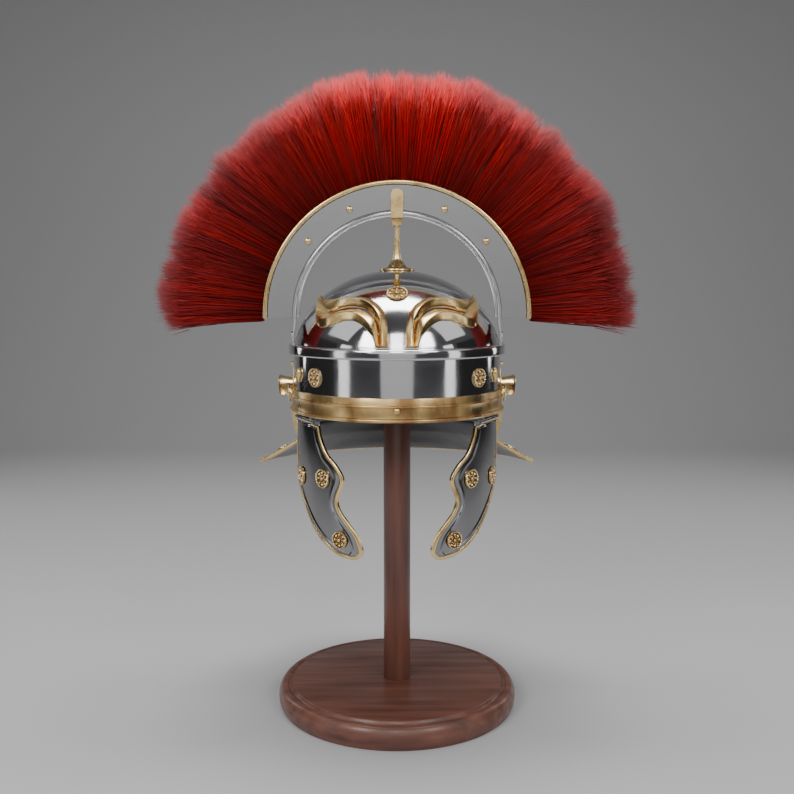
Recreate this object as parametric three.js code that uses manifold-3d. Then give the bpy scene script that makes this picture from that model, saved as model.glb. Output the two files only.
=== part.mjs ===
// Roman legionary helmet on a turned wooden display stand.
// Millimetres, +Z up, the face of the helmet looks along -Y, origin at the middle of the stand's foot.
import * as THREE from "three";
import { mergeVertices } from "three/addons/utils/BufferGeometryUtils.js";
import Module from "manifold-3d";

const wasm = await Module();
wasm.setup();

// ---------- Driving dimensions ----------

const GAP = 0.35; // clearance kept between neighbouring pieces
const HUG = 0.5; // clearance under pieces that follow the faceted bowl

// stand
const FOOT_RADIUS = 116;
const FOOT_DISC_RADIUS = 102.7;
const FOOT_HEIGHT = 22.6;
const POST_RADIUS = 13;

// bowl: oval in plan, wall below, dome above
const BOWL_HALF_WIDTH = 98;
const BOWL_FRONT = 112;
const BOWL_REAR = 116;
const BOWL_SHEET = 2;
const RIM_HEIGHT = 290.8;
const DOME_BASE = 340;
const DOME_RISE = 81.5;
const APEX_HEIGHT = DOME_BASE + DOME_RISE;

// neck guard and ear cut-out
const MEAN_RADIUS = 105; // radius at which the bowl's profile is drawn
const NECK_RADIUS = 147;
const NECK_EDGE_HEIGHT = 230;
const NAPE_FOOT = { radius: 110, height: 254 };
const EAR = { y: 24, half: 18, rise: 26 };
const NECK_ROOT = { y: 43, z: 253 };
const NECK_TIP = { y: 58, z: 229 };

// brass band and steel brow guard
const BAND_TOP = 311;
const BEAD_HEIGHT = 304.2;
const BAND_ANGLE = 86;
const GUARD_TOP = 353.5;
const GUARD_BOTTOM = 344.6;
const GUARD_REACH = 16;
const GUARD_ANGLE = 92;

// crest
const CREST_CENTRE = 378.3;
const CREST_DEPTH = 32;
const CREST_SHEET = 1.2;
const ARCH_RADIUS = 95.9;
const ARCH_SHEET = 1.6;
const PLATE_INNER = 97.9;
const PLATE_OUTER = 121.2;
const TRIM_OUTER = 126.2;
const TRIM_DEPTH = 3.4;
const CREST_DROOP = 1; // degrees the box runs below its centre
const PLUME_RADIUS = 229;
const PLUME_HALF_DEPTH = 36;
const PLUME_DROOP = 2.2;
const LEG_HALF_WIDTH = 7;

// cheek guards: plates on an oval just inside the wall, hung from a straight hinge line
const CHEEK_HALF_WIDTH = 95;
const CHEEK_FRONT = 109;
const CHEEK_SHEET = 1.8;
const CHEEK_EDGE = 3;
const EDGE_PROUD = 0.8; // how far the brass edging stands over the plate
const HINGE_ANGLE = 62;
const HINGE_HEIGHT = 286;
const KNUCKLE_RADIUS = 2.4;
const PIN_RADIUS = 1;
const KNUCKLE_COUNT = 5;
const KNUCKLE_LENGTH = 8.6;
const KNUCKLE_PITCH = 9.2;

const rad = THREE.MathUtils.degToRad;

// ---------- Materials ----------

const steel = { color: 0xb9bcc0, roughness: 0.12, metalness: 1 };
const greySteel = { color: 0x86878a, roughness: 0.5, metalness: 0.9 };
const brass = { color: 0xb08a4c, roughness: 0.3, metalness: 1 };
const wood = { color: 0x4a2a20, roughness: 0.3, metalness: 0 };
const horsehair = { color: 0xb00812, roughness: 0.8, metalness: 0 };

// ---------- Geometry helpers ----------

// Six times the signed volume decides which way a closed surface faces.
function faceOut(geometry) {
  const flat = geometry.index ? geometry.toNonIndexed() : geometry;
  const p = flat.getAttribute("position");
  const [a, b, c] = [new THREE.Vector3(), new THREE.Vector3(), new THREE.Vector3()];
  let volume = 0;
  for (let i = 0; i < p.count; i += 3) {
    a.fromBufferAttribute(p, i);
    b.fromBufferAttribute(p, i + 1);
    c.fromBufferAttribute(p, i + 2);
    volume += a.dot(b.cross(c));
  }
  if (volume < 0) {
    for (let i = 0; i < p.count; i += 3) {
      a.fromBufferAttribute(p, i + 1);
      b.fromBufferAttribute(p, i + 2);
      p.setXYZ(i + 1, b.x, b.y, b.z);
      p.setXYZ(i + 2, a.x, a.y, a.z);
    }
  }
  flat.computeVertexNormals();
  return flat;
}

// Moves every vertex of a closed geometry through place(x, y, z) -> Vector3.
function warp(geometry, place) {
  const p = geometry.getAttribute("position");
  for (let i = 0; i < p.count; i++) {
    const v = place(p.getX(i), p.getY(i), p.getZ(i));
    p.setXYZ(i, v.x, v.y, v.z);
  }
  return faceOut(geometry);
}

function toSolid(geometry) {
  const bare = geometry.clone();
  bare.deleteAttribute("normal");
  bare.deleteAttribute("uv");
  const merged = mergeVertices(bare, 1e-3);
  return new wasm.Manifold(
    new wasm.Mesh({
      numProp: 3,
      vertProperties: new Float32Array(merged.getAttribute("position").array),
      triVerts: new Uint32Array(merged.index.array),
    }),
  );
}

function toGeometry(solid) {
  const mesh = solid.getMesh();
  const geometry = new THREE.BufferGeometry();
  geometry.setAttribute("position", new THREE.BufferAttribute(mesh.vertProperties, 3));
  geometry.setIndex(new THREE.BufferAttribute(mesh.triVerts, 1));
  return geometry.toNonIndexed();
}

function join(...geometries) {
  return toGeometry(geometries.map(toSolid).reduce((all, one) => all.add(one)));
}

function cut(body, tool) {
  return toGeometry(toSolid(body).subtract(toSolid(tool)));
}

function common(body, tool) {
  return toGeometry(toSolid(body).intersect(toSolid(tool)));
}

function mirrored(geometry) {
  return faceOut(geometry.clone().scale(-1, 1, 1));
}

function polygon(points) {
  return new THREE.Shape(points.map(([x, y]) => new THREE.Vector2(x, y)));
}

function slab(shape, depth, options = {}) {
  return new THREE.ExtrudeGeometry(shape, { depth, bevelEnabled: false, ...options });
}

// A turned piece: profile points are [radius, height], the axis is Z.
function turned(profile, segments) {
  const points = profile.map(([r, z]) => new THREE.Vector2(r, z));
  return faceOut(new THREE.LatheGeometry(points, segments).rotateX(Math.PI / 2));
}

// A slab drawn in the XZ plane, running from yNear back to yFar.
function upright(shape, yNear, yFar) {
  const geometry = slab(shape, yFar - yNear, { curveSegments: 16 });
  return geometry.rotateX(Math.PI / 2).translate(0, yFar, 0);
}

// Plan angle in degrees, 0 at the face and 90 at +X; out is measured square to the oval.
function ovalPoint(degrees, out, z, halfWidth = BOWL_HALF_WIDTH, front = BOWL_FRONT, rear = BOWL_REAR) {
  const s = Math.sin(rad(degrees));
  const c = Math.cos(rad(degrees));
  const length = c >= 0 ? front : rear;
  const normal = new THREE.Vector3(s / halfWidth, -c / length, 0).normalize();
  return new THREE.Vector3(halfWidth * s, -length * c, z).addScaledVector(normal, out);
}

// A bar whose section [out, z] follows the wall between two plan angles.
function wallBar(section, from, to, steps, reach = () => 1, oval = []) {
  const bar = slab(polygon(section), 1, { steps });
  return warp(bar, (out, z, t) => {
    const angle = from + (to - from) * t;
    return ovalPoint(angle, out * reach(angle), z, ...oval);
  });
}

const DOME_CENTRE = new THREE.Vector3(0, 0, DOME_BASE);

function domeAxes(y) {
  return new THREE.Vector3(BOWL_HALF_WIDTH, y < 0 ? BOWL_FRONT : BOWL_REAR, DOME_RISE);
}

// Nearest dome point in the direction of p from the dome's centre, and the outward normal there.
function onDome(p) {
  const axes = domeAxes(p.y);
  const q = p.clone().sub(DOME_CENTRE);
  q.divideScalar(q.clone().divide(axes).length());
  const normal = q.clone().divide(axes).divide(axes).normalize();
  return { point: q.add(DOME_CENTRE), normal };
}

// The dome seen from the front: the point at (x, z).
function domeFront(x, z) {
  const u = x / BOWL_HALF_WIDTH;
  const w = (z - DOME_BASE) / DOME_RISE;
  const y = -BOWL_FRONT * Math.sqrt(Math.max(0, 1 - u * u - w * w));
  return onDome(new THREE.Vector3(x, y, z));
}

function wallPlace(degrees, z) {
  const point = ovalPoint(degrees, 0, z);
  return { point, normal: ovalPoint(degrees, 1, z).sub(point) };
}

// Stands a turned piece on a surface with its axis along the outward normal.
function standOn({ point, normal }, geometry, lift = GAP) {
  const turn = new THREE.Quaternion().setFromUnitVectors(new THREE.Vector3(0, 0, 1), normal);
  const at = point.clone().addScaledVector(normal, lift);
  return geometry.clone().applyQuaternion(turn).translate(at.x, at.y, at.z);
}

// ---------- Scene graph ----------

const helmet = new THREE.Group();
helmet.name = "helmet_on_stand";
const cheekLeft = new THREE.Group();
const cheekRight = new THREE.Group();
helmet.add(cheekLeft, cheekRight);

function add(name, geometry, look, parent = helmet) {
  const mesh = new THREE.Mesh(geometry, new THREE.MeshStandardMaterial(look));
  mesh.name = name;
  parent.add(mesh);
}

function addPair(name, leftGeometry, look, parents = [helmet, helmet]) {
  add(`${name}_left`, leftGeometry, look, parents[0]);
  add(`${name}_right`, mirrored(leftGeometry), look, parents[1]);
}

// ---------- Stand ----------

const footProfile = [
  [0, 0],
  [FOOT_RADIUS - 2.6, 0],
  [FOOT_RADIUS - 0.5, 5],
  [FOOT_RADIUS, 10.3],
  [FOOT_RADIUS - 0.8, 15],
  [FOOT_RADIUS - 2.8, 18.8],
  [FOOT_RADIUS - 5.4, 20.8],
  [FOOT_RADIUS - 8.4, 21],
  [FOOT_DISC_RADIUS + 3.4, 19.4],
  [FOOT_DISC_RADIUS + 1.4, 19.4],
  [FOOT_DISC_RADIUS, 21.6],
  [FOOT_DISC_RADIUS - 1.2, FOOT_HEIGHT],
  [0, FOOT_HEIGHT],
];
add("stand_base", turned(footProfile, 36), wood);

const innerApex = APEX_HEIGHT - BOWL_SHEET;
const postTop = innerApex - 2.4;
const postProfile = [
  [0, FOOT_HEIGHT + GAP],
  [POST_RADIUS, FOOT_HEIGHT + GAP],
  [POST_RADIUS, postTop - 2],
  [POST_RADIUS - 2, postTop],
  [0, postTop],
];
add("stand_post", turned(postProfile, 20), wood);

// ---------- Bowl, nape and neck guard ----------

// Outer profile at the mean radius, from the apex down to the neck guard's edge.
function bowlProfile() {
  const points = [];
  for (let a = 0; a <= 90; a += 11.25) {
    points.push([MEAN_RADIUS * Math.sin(rad(a)), DOME_BASE + DOME_RISE * Math.cos(rad(a))]);
  }
  points.push([MEAN_RADIUS, RIM_HEIGHT - 0.5], [MEAN_RADIUS + 1.4, 274]);
  points.push([NAPE_FOOT.radius - 1, 262], [NAPE_FOOT.radius + 3, NAPE_FOOT.height]);
  points.push([NAPE_FOOT.radius + 9, NAPE_FOOT.height - 5.4]);
  points.push([NECK_RADIUS, NECK_EDGE_HEIGHT]);
  return points;
}

// The same profile moved square to itself by the sheet's thickness.
function innerProfile(outer) {
  return outer.map(([r, z], i) => {
    const [r0, z0] = outer[Math.max(0, i - 1)];
    const [r1, z1] = outer[Math.min(outer.length - 1, i + 1)];
    const length = Math.hypot(r1 - r0, z1 - z0);
    if (i === 0) return [0, z - BOWL_SHEET];
    return [r + (BOWL_SHEET * (z1 - z0)) / length, z - (BOWL_SHEET * (r1 - r0)) / length];
  });
}

// Radius in direction (x, y) of the profile's radius r: an oval on the bowl, a circle at the neck guard's edge.
function ovalRadius(r, x, y) {
  const length = Math.hypot(x, y) || 1;
  const bowlLength = y < 0 ? BOWL_FRONT : BOWL_REAR;
  const oval = length / Math.hypot(x / BOWL_HALF_WIDTH, y / bowlLength);
  const round = THREE.MathUtils.smoothstep(r, NAPE_FOOT.radius - 4, NECK_RADIUS);
  return r * THREE.MathUtils.lerp(oval / MEAN_RADIUS, 1, round);
}

const outerProfile = bowlProfile();
const ring = [...outerProfile, ...innerProfile(outerProfile).reverse()];
const fullBowl = warp(turned(ring, 48), (x, y, z) => {
  const r = Math.hypot(x, y);
  const k = r < 1e-6 ? 0 : ovalRadius(r, x, y) / r;
  return new THREE.Vector3(x * k, y * k, z);
});

// Side view of what is cut away below the face, round the ear and in front of the neck guard.
function faceCut() {
  const shape = new THREE.Shape();
  shape.moveTo(-200, RIM_HEIGHT);
  shape.lineTo(EAR.y - EAR.half, RIM_HEIGHT);
  shape.absellipse(EAR.y, RIM_HEIGHT, EAR.half, EAR.rise, Math.PI, 0, true);
  shape.lineTo(NECK_ROOT.y, NECK_ROOT.z);
  shape.lineTo(NECK_TIP.y, NECK_TIP.z);
  shape.lineTo(NECK_TIP.y, 200);
  shape.lineTo(-200, 200);
  return shape;
}

// A side-view slab (y, z) run across the whole helmet.
function acrossHelmet(shape) {
  const geometry = slab(shape, 400, { curveSegments: 8 });
  return warp(geometry, (y, z, x) => new THREE.Vector3(x - 200, y, z));
}

add("bowl", cut(fullBowl, acrossHelmet(faceCut())), steel);

// Radius of the outer profile at a height below the dome.
function napeRadius(z) {
  const lower = outerProfile.findIndex(([, height]) => height <= z);
  const [r1, z1] = outerProfile[lower];
  const [r0, z0] = outerProfile[lower - 1];
  return r0 + ((z0 - z) / (z0 - z1)) * (r1 - r0);
}

// The left-hand point of the neck surface at (y, z). The radius depends on the direction, so x is closed in on.
function neckPoint(y, z) {
  const r = napeRadius(z);
  let x = -r;
  for (let i = 0; i < 12; i++) {
    x = -Math.sqrt(Math.max(1, ovalRadius(r, x, y) ** 2 - y * y));
  }
  return new THREE.Vector3(x, y, z);
}

// ---------- Neck trim ----------

// A closed tube of round-sided section along a curve.
function tube(curve, radius, steps, sides = 6) {
  const section = polygon(
    Array.from({ length: sides }, (_, i) => {
      const a = (i / sides) * 2 * Math.PI;
      return [radius * Math.cos(a), radius * Math.sin(a)];
    }),
  );
  return faceOut(new THREE.ExtrudeGeometry(section, { steps, extrudePath: curve, bevelEnabled: false }));
}

const TRIM_RADIUS = 2;
const trimReach = NECK_RADIUS + TRIM_RADIUS + GAP;
const tipAngle = Math.acos((NECK_TIP.y - TRIM_RADIUS) / trimReach);

// Edge of the neck guard, tip to tip round the back.
const rearEdge = new THREE.CatmullRomCurve3(
  Array.from({ length: 13 }, (_, i) => {
    const a = tipAngle * (1 - i / 6);
    const z = NECK_EDGE_HEIGHT - BOWL_SHEET / 2;
    return new THREE.Vector3(-trimReach * Math.sin(a), trimReach * Math.cos(a), z);
  }),
);

// Edge from the tip in to the neck guard's root and up behind the ear.
const FORWARD = TRIM_RADIUS + GAP + 0.5;
const sideStops = [
  [NECK_TIP.y - 1, NECK_TIP.z + 1.4],
  [NECK_TIP.y - 5, NECK_TIP.z + 8],
  [NECK_TIP.y - 9.6, NECK_TIP.z + 15.4],
  [NECK_ROOT.y + 0.6, NECK_ROOT.z],
  [NECK_ROOT.y, NECK_ROOT.z + 9],
  [EAR.y + EAR.half + 0.6, RIM_HEIGHT - 14],
  [EAR.y + EAR.half + 0.4, RIM_HEIGHT - 1],
];
const sidePoints = sideStops.map(([y, z]) => {
  const p = neckPoint(y, z);
  p.x += BOWL_SHEET / 2;
  p.y -= FORWARD;
  return p;
});
sidePoints[0] = rearEdge.getPoint(0);
const sideTrim = tube(new THREE.CatmullRomCurve3(sidePoints), TRIM_RADIUS, 11);
// Tongue that widens the trim behind the ear up to the ear guard, seen from the front.
const tongueTop = RIM_HEIGHT - 1.5;
const tongueEdge = [
  [-91, tongueTop], [-106.5, tongueTop], [-105.6, 280],
  [-103.6, 268], [-101, 259], [-96, 259],
];
const tongueBack = EAR.y + EAR.half - 1.8;
const tongue = upright(polygon(tongueEdge), tongueBack - 1.4, tongueBack);
const trimSides = [sideTrim, tongue, mirrored(sideTrim), mirrored(tongue)];
add("neck_trim", join(tube(rearEdge, TRIM_RADIUS, 26), ...trimSides), brass);

// ---------- Rosettes and bosses ----------

// A round rosette: flat rim, raised ring and centre boss.
function rosette(radius, rise) {
  const profile = [
    [0, 0],
    [radius, 0],
    [radius * 0.9, rise * 0.55],
    [radius * 0.36, rise * 0.75],
    [0, rise],
  ];
  return turned(profile, 12);
}

function dome(radius, rise, segments = 8) {
  return turned([[0, 0], [radius, 0], [radius * 0.75, rise * 0.7], [0, rise]], segments);
}

add("dome_rosette", standOn(domeFront(0, 399.4), rosette(9.6, 4.6), 0.9), brass);
addPair("temple_rosette", standOn(wallPlace(-47.3, 326), rosette(8.6, 4.6), 0.75), brass);

// Tear-shaped boss, point down, and the upright plaque in front of the ear.
function teardrop(halfWidth, top, point) {
  const shape = new THREE.Shape();
  shape.moveTo(0, -point);
  shape.quadraticCurveTo(halfWidth * 0.9, -point * 0.3, halfWidth, top - halfWidth);
  shape.absarc(0, top - halfWidth, halfWidth, 0, Math.PI, false);
  shape.quadraticCurveTo(-halfWidth * 0.9, -point * 0.3, 0, -point);
  return shape;
}

const bossBody = slab(teardrop(3.6, 6.4, 7.2), 2, {
  curveSegments: 5,
  bevelEnabled: true,
  bevelThickness: 1.4,
  bevelSize: 1.2,
  bevelOffset: -1.2,
  bevelSegments: 1,
});
const bossPlace = wallPlace(-63.9, 327);
const bossTurn = new THREE.Matrix4().makeBasis(
  new THREE.Vector3(0, 0, 1).cross(bossPlace.normal),
  new THREE.Vector3(0, 0, 1),
  bossPlace.normal,
);
const bossAt = bossPlace.point.clone().addScaledVector(bossPlace.normal, 1.4 + GAP);
addPair("side_boss", faceOut(bossBody.applyMatrix4(bossTurn).translate(...bossAt)), brass);

const BLADE = { low: 293, high: 334, half: 4.2, sheet: 1.5 };
const bladeReach = (BLADE.high - BLADE.low) / 2;
const bladeShape = teardrop(BLADE.half, bladeReach, bladeReach);
const blade = warp(slab(bladeShape, BLADE.sheet, { curveSegments: 6 }), (y, z, out) => {
  const height = (BLADE.low + BLADE.high) / 2 + z;
  return new THREE.Vector3(-BOWL_HALF_WIDTH - GAP - out, y, height);
});
addPair("ear_blade", blade, brass);
addPair("ear_rosette", standOn(wallPlace(-81, 307), rosette(8.4, 6), 3.3), brass);

const neckPlace = {
  point: neckPoint(57, 240.6),
  normal: new THREE.Vector3(-0.5, 0.24, 0.83).normalize(),
};
addPair("neck_rosette", standOn(neckPlace, rosette(7.4, 3.4), 1.1), brass);

// ---------- Brow band, brow guard, eyebrows ----------

const bandSection = [
  [HUG, BAND_TOP],
  [1.2, BAND_TOP + 0.3],
  [1.6, BAND_TOP - 0.4],
  [1.6, BEAD_HEIGHT + 1.8],
  [2.7, BEAD_HEIGHT + 1],
  [2.7, BEAD_HEIGHT - 1],
  [1.6, BEAD_HEIGHT - 1.8],
  [1.6, RIM_HEIGHT + 4.2],
  [3, RIM_HEIGHT + 2.8],
  [3.2, RIM_HEIGHT + 1],
  [2, RIM_HEIGHT - 0.3],
  [HUG, RIM_HEIGHT - 0.2],
];
add("brow_band", wallBar(bandSection, -BAND_ANGLE, BAND_ANGLE, 26), brass);
add("brow_rivet", standOn(wallPlace(0, 302), dome(3, 2.2), 3.3), brass);

const guardSection = [
  [HUG, GUARD_TOP],
  [GUARD_REACH - 2.4, GUARD_TOP],
  [GUARD_REACH - 0.6, GUARD_TOP - 1.4],
  [GUARD_REACH, GUARD_TOP - 4],
  [GUARD_REACH - 0.4, GUARD_BOTTOM + 1.4],
  [GUARD_REACH - 1.8, GUARD_BOTTOM],
  [GUARD_REACH - 3.4, GUARD_BOTTOM + 1],
  [GUARD_REACH - 3.6, GUARD_TOP - 2.8],
  [HUG, GUARD_TOP - 2.8],
];
// The guard reaches furthest over the face and dies into the bowl at its ends.
const guardReach = (angle) => 0.12 + 0.88 * Math.max(0, Math.cos(rad(angle)));
add("brow_guard", wallBar(guardSection, -GUARD_ANGLE, GUARD_ANGLE, 28, guardReach), steel);

// A raised strip on the dome between two surface curves given as front-view points [x, z]: it rises
// from its outer edge to a ridge at its inner edge and drops straight down behind it.
function wing(outerStops, ridgeStops, rise, steps) {
  const curve = (stops) => new THREE.CatmullRomCurve3(stops.map(([x, z]) => domeFront(x, z).point));
  const outer = curve(outerStops);
  const ridge = curve(ridgeStops);
  const section = polygon([[0, 0.5], [0, 1.8], [0.9, rise], [1.05, rise], [1.15, 0.5]]);
  return warp(slab(section, 1, { steps }), (across, lift, t) => {
    const between = outer.getPoint(t).lerp(ridge.getPoint(t), across);
    const { point, normal } = onDome(between);
    return point.addScaledVector(normal, lift);
  });
}

const BROW_FOOT = GUARD_TOP + 1.3;
const upperOuter = [
  [-7.2, BROW_FOOT], [-7.8, 370], [-10.4, 382], [-16.6, 389.8],
  [-25.5, 394.2], [-36, 395.2], [-49, 393.6], [-63, 392.6],
];
const upperRidge = [
  [-14.2, BROW_FOOT], [-14.6, 367.6], [-16.5, 375], [-21, 382.8],
  [-26.8, 387.5], [-33, 389.3], [-44, 389.5], [-58.5, 387.6],
];
const lowerOuter = [
  [-13.6, BROW_FOOT], [-16.4, 368.5], [-19.2, 377], [-25, 382], [-31, 384.8],
  [-38, 385.2], [-50, 383.7], [-60, 382], [-69.4, 384],
];
const lowerRidge = [
  [-17.6, BROW_FOOT], [-20.8, 363.7], [-26.4, 371.8], [-32, 376.6], [-38, 379.4],
  [-47, 379.2], [-54, 376], [-62, 371.6], [-70, 372],
];
const hornInner = [[-57, 376], [-60, 383.5], [-65, 393.6]];
const hornOuter = [[-69.4, 373], [-71.6, 382], [-67, 394.2]];
const upperWing = wing(upperOuter, upperRidge, 6, 16);
const lowerWing = wing(lowerOuter, lowerRidge, 5.6, 16);
const horn = wing(hornInner, hornOuter, 5, 6);
addPair("eyebrow", join(upperWing, lowerWing, horn), brass);

// ---------- Ear guards ----------

// An arch in side view between two concentric half-ellipses.
function earArch(inset, width) {
  const shape = new THREE.Shape();
  const low = RIM_HEIGHT - 1;
  shape.moveTo(EAR.y - EAR.half - inset - width, low);
  shape.absellipse(EAR.y, low, EAR.half + inset + width, EAR.rise + inset + width, Math.PI, 0, true);
  shape.lineTo(EAR.y + EAR.half + inset, low);
  shape.absellipse(EAR.y, low, EAR.half + inset, EAR.rise + inset, 0, Math.PI, false);
  return shape;
}

function wallX(y) {
  const length = y < 0 ? BOWL_FRONT : BOWL_REAR;
  return BOWL_HALF_WIDTH * Math.sqrt(1 - (y / length) ** 2);
}

const EAR_SHEET = 1.3;
const EAR_REACH = 18;
const earHood = warp(slab(earArch(0.4, EAR_SHEET), 1, { steps: 2, curveSegments: 6 }), (y, z, t) => {
  const flare = 1 + 0.16 * t * t;
  const reach = EAR_REACH * (0.62 + 0.38 * Math.min(1, Math.max(0, z - RIM_HEIGHT) / EAR.rise));
  return new THREE.Vector3(
    -wallX(y) - GAP - 0.4 - t * reach,
    EAR.y + (y - EAR.y) * flare,
    RIM_HEIGHT + (z - RIM_HEIGHT) * (1 + 0.1 * t * t),
  );
});
const earFlange = warp(slab(earArch(0.4, 4), 1.4, { curveSegments: 6 }), (y, z, out) => {
  return new THREE.Vector3(-wallX(y) - GAP - 0.3 - out, y, z);
});
// The flange stops short of the plaque in front of it.
const earClear = new THREE.BoxGeometry(40, 12, 80).translate(-100, BLADE.half + GAP - 6, 300);
addPair("ear_guard", cut(join(earHood, earFlange), earClear), brass);

// ---------- Crest box ----------

// Part of a ring in the XZ plane about the crest's centre, running a little below it at both ends.
function crestRing(inner, outer, droop) {
  const shape = new THREE.Shape();
  shape.absarc(0, 0, outer, rad(-droop), Math.PI + rad(droop), false);
  shape.absarc(0, 0, inner, Math.PI + rad(droop), rad(-droop), true);
  return shape;
}

function crestSlab(inner, outer, yNear, yFar, droop = CREST_DROOP) {
  return upright(crestRing(inner, outer, droop), yNear, yFar).translate(0, 0, CREST_CENTRE);
}

const crestFront = -CREST_DEPTH / 2;
for (const [name, turn] of [["front", 1], ["back", -1]]) {
  const plate = crestSlab(PLATE_INNER, PLATE_OUTER, crestFront, crestFront + CREST_SHEET);
  const trim = crestSlab(PLATE_OUTER + GAP, TRIM_OUTER, crestFront - 1, crestFront - 1 + TRIM_DEPTH);
  add(`crest_plate_${name}`, faceOut(plate.scale(1, turn, 1)), greySteel);
  add(`crest_trim_${name}`, faceOut(trim.scale(1, turn, 1)), brass);
}

// Arch under the box with a leg at each end, standing on the brow guard.
const LEG_FOOT = { x: 98.4, z: GUARD_TOP + GAP };
function leg() {
  const top = CREST_CENTRE;
  const shape = polygon([
    [-ARCH_RADIUS, top],
    [-ARCH_RADIUS - ARCH_SHEET, top],
    [-LEG_FOOT.x - ARCH_SHEET / 2, LEG_FOOT.z],
    [-LEG_FOOT.x + ARCH_SHEET / 2, LEG_FOOT.z],
  ]);
  return upright(shape, -LEG_HALF_WIDTH, LEG_HALF_WIDTH);
}
const arch = crestSlab(ARCH_RADIUS, ARCH_RADIUS + ARCH_SHEET, crestFront, -crestFront);
add("crest_arch", join(arch, leg(), mirrored(leg())), steel);

const RIVET_RING = 108;
const crestRivetAngles = [140, 114, 66, 40];
crestRivetAngles.forEach((angle, i) => {
  const x = RIVET_RING * Math.cos(rad(angle));
  const z = CREST_CENTRE + RIVET_RING * Math.sin(rad(angle));
  const place = { point: new THREE.Vector3(x, crestFront, z), normal: new THREE.Vector3(0, -1, 0) };
  add(`crest_rivet_${i + 1}`, standOn(place, dome(3.1, 1.8)), brass);
});

const legRivetPlace = {
  point: new THREE.Vector3(-LEG_FOOT.x - ARCH_SHEET / 2 + 0.2, -2, 361),
  normal: new THREE.Vector3(-1, 0, 0),
};
addPair("leg_rivet", standOn(legRivetPlace, dome(2.8, 2.4)), steel);

// ---------- Crest holder ----------

const holderTurned = turned(
  [
    [0, APEX_HEIGHT + GAP],
    [9, APEX_HEIGHT + GAP - 0.3],
    [16.3, APEX_HEIGHT - 0.7],
    [16.3, APEX_HEIGHT + 0.9],
    [9.4, APEX_HEIGHT + 2.8],
    [6.4, APEX_HEIGHT + 7],
    [4, APEX_HEIGHT + 12],
    [2.6, APEX_HEIGHT + 30],
    [2.2, APEX_HEIGHT + 39.6],
    [3.6, APEX_HEIGHT + 43],
    [0, APEX_HEIGHT + 43],
  ],
  16,
);
const FORK = { half: 5.8, top: 496, sheet: 1.5, underArch: CREST_CENTRE + ARCH_RADIUS - 0.6 };
const forkReach = CREST_DEPTH / 2 + GAP + FORK.sheet;
const forkBlock = new THREE.BoxGeometry(9, 10, 6).translate(0, 0, APEX_HEIGHT + 45);
const forkBar = new THREE.BoxGeometry(2 * FORK.half, 2 * forkReach, 4.4);
forkBar.translate(0, 0, FORK.underArch - 2.2);
function forkLeaf() {
  const shape = new THREE.Shape();
  shape.moveTo(-FORK.half, FORK.underArch - 4.4);
  shape.lineTo(FORK.half, FORK.underArch - 4.4);
  shape.absarc(0, FORK.top - FORK.half, FORK.half, 0, Math.PI, false);
  const leaf = slab(shape, FORK.sheet, { curveSegments: 8 });
  return leaf.rotateX(Math.PI / 2).translate(0, -forkReach + FORK.sheet, 0);
}
const forkRear = faceOut(forkLeaf().scale(1, -1, 1));
add("crest_holder", join(holderTurned, forkBlock, forkBar, forkLeaf(), forkRear), brass);

// ---------- Plume ----------

const rootHalf = CREST_DEPTH / 2 + 1 - TRIM_DEPTH - GAP;
const plumeHalf = [
  [ARCH_RADIUS + ARCH_SHEET + GAP, rootHalf],
  [TRIM_OUTER + 1, rootHalf],
  [TRIM_OUTER + 16, rootHalf + 9],
  [PLUME_RADIUS - 62, PLUME_HALF_DEPTH - 5],
  [PLUME_RADIUS - 32, PLUME_HALF_DEPTH],
  [PLUME_RADIUS - 10, PLUME_HALF_DEPTH - 5],
  [PLUME_RADIUS, PLUME_HALF_DEPTH - 18],
];
const plumeSection = [...plumeHalf, ...plumeHalf.map(([r, y]) => [r, -y]).reverse()];
const plume = warp(slab(polygon(plumeSection), 1, { steps: 30 }), (r, y, t) => {
  const a = rad(-PLUME_DROOP + (180 + 2 * PLUME_DROOP) * t);
  return new THREE.Vector3(r * Math.cos(a), y, CREST_CENTRE + r * Math.sin(a));
});
add("plume", plume, horsehair);

// ---------- Cheek guards ----------

const cheekOval = [CHEEK_HALF_WIDTH, CHEEK_FRONT, CHEEK_FRONT];
const hingeMiddle = ovalPoint(-HINGE_ANGLE, -CHEEK_SHEET / 2, HINGE_HEIGHT, ...cheekOval);
const hingeAhead = ovalPoint(-HINGE_ANGLE + 0.1, -CHEEK_SHEET / 2, HINGE_HEIGHT, ...cheekOval);
const hingeAxis = hingeAhead.clone().sub(hingeMiddle).normalize();
const up = new THREE.Vector3(0, 0, 1);
const outward = hingeAxis.clone().cross(up);
// Local frame of the left hinge: X forward along the pin, Y up, Z outward.
const hingeFrame = new THREE.Matrix4().makeBasis(hingeAxis, up, outward).setPosition(hingeMiddle);

// Outline square-on to the hinge: [forward of the hinge's middle, below the hinge].
function cheekOutline() {
  const shape = new THREE.Shape();
  const spline = (points) => shape.splineThru(points.map(([h, z]) => new THREE.Vector2(h, z)));
  shape.moveTo(-38.5, -3);
  shape.lineTo(-39, -50);
  spline([[-31, -58], [-19, -65.5], [-1, -81], [17, -97], [33, -108], [49, -115.4]]);
  spline([[61, -117.6], [67.5, -115.6], [70.4, -109], [66.6, -96]]);
  spline([[60, -86.4], [53, -77.4], [49.6, -70], [50.4, -62.6]]);
  spline([[54.2, -53], [54.6, -45.4], [48, -35.6], [37.5, -26.6], [30.4, -15], [26.4, -3]]);
  return shape;
}

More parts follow.
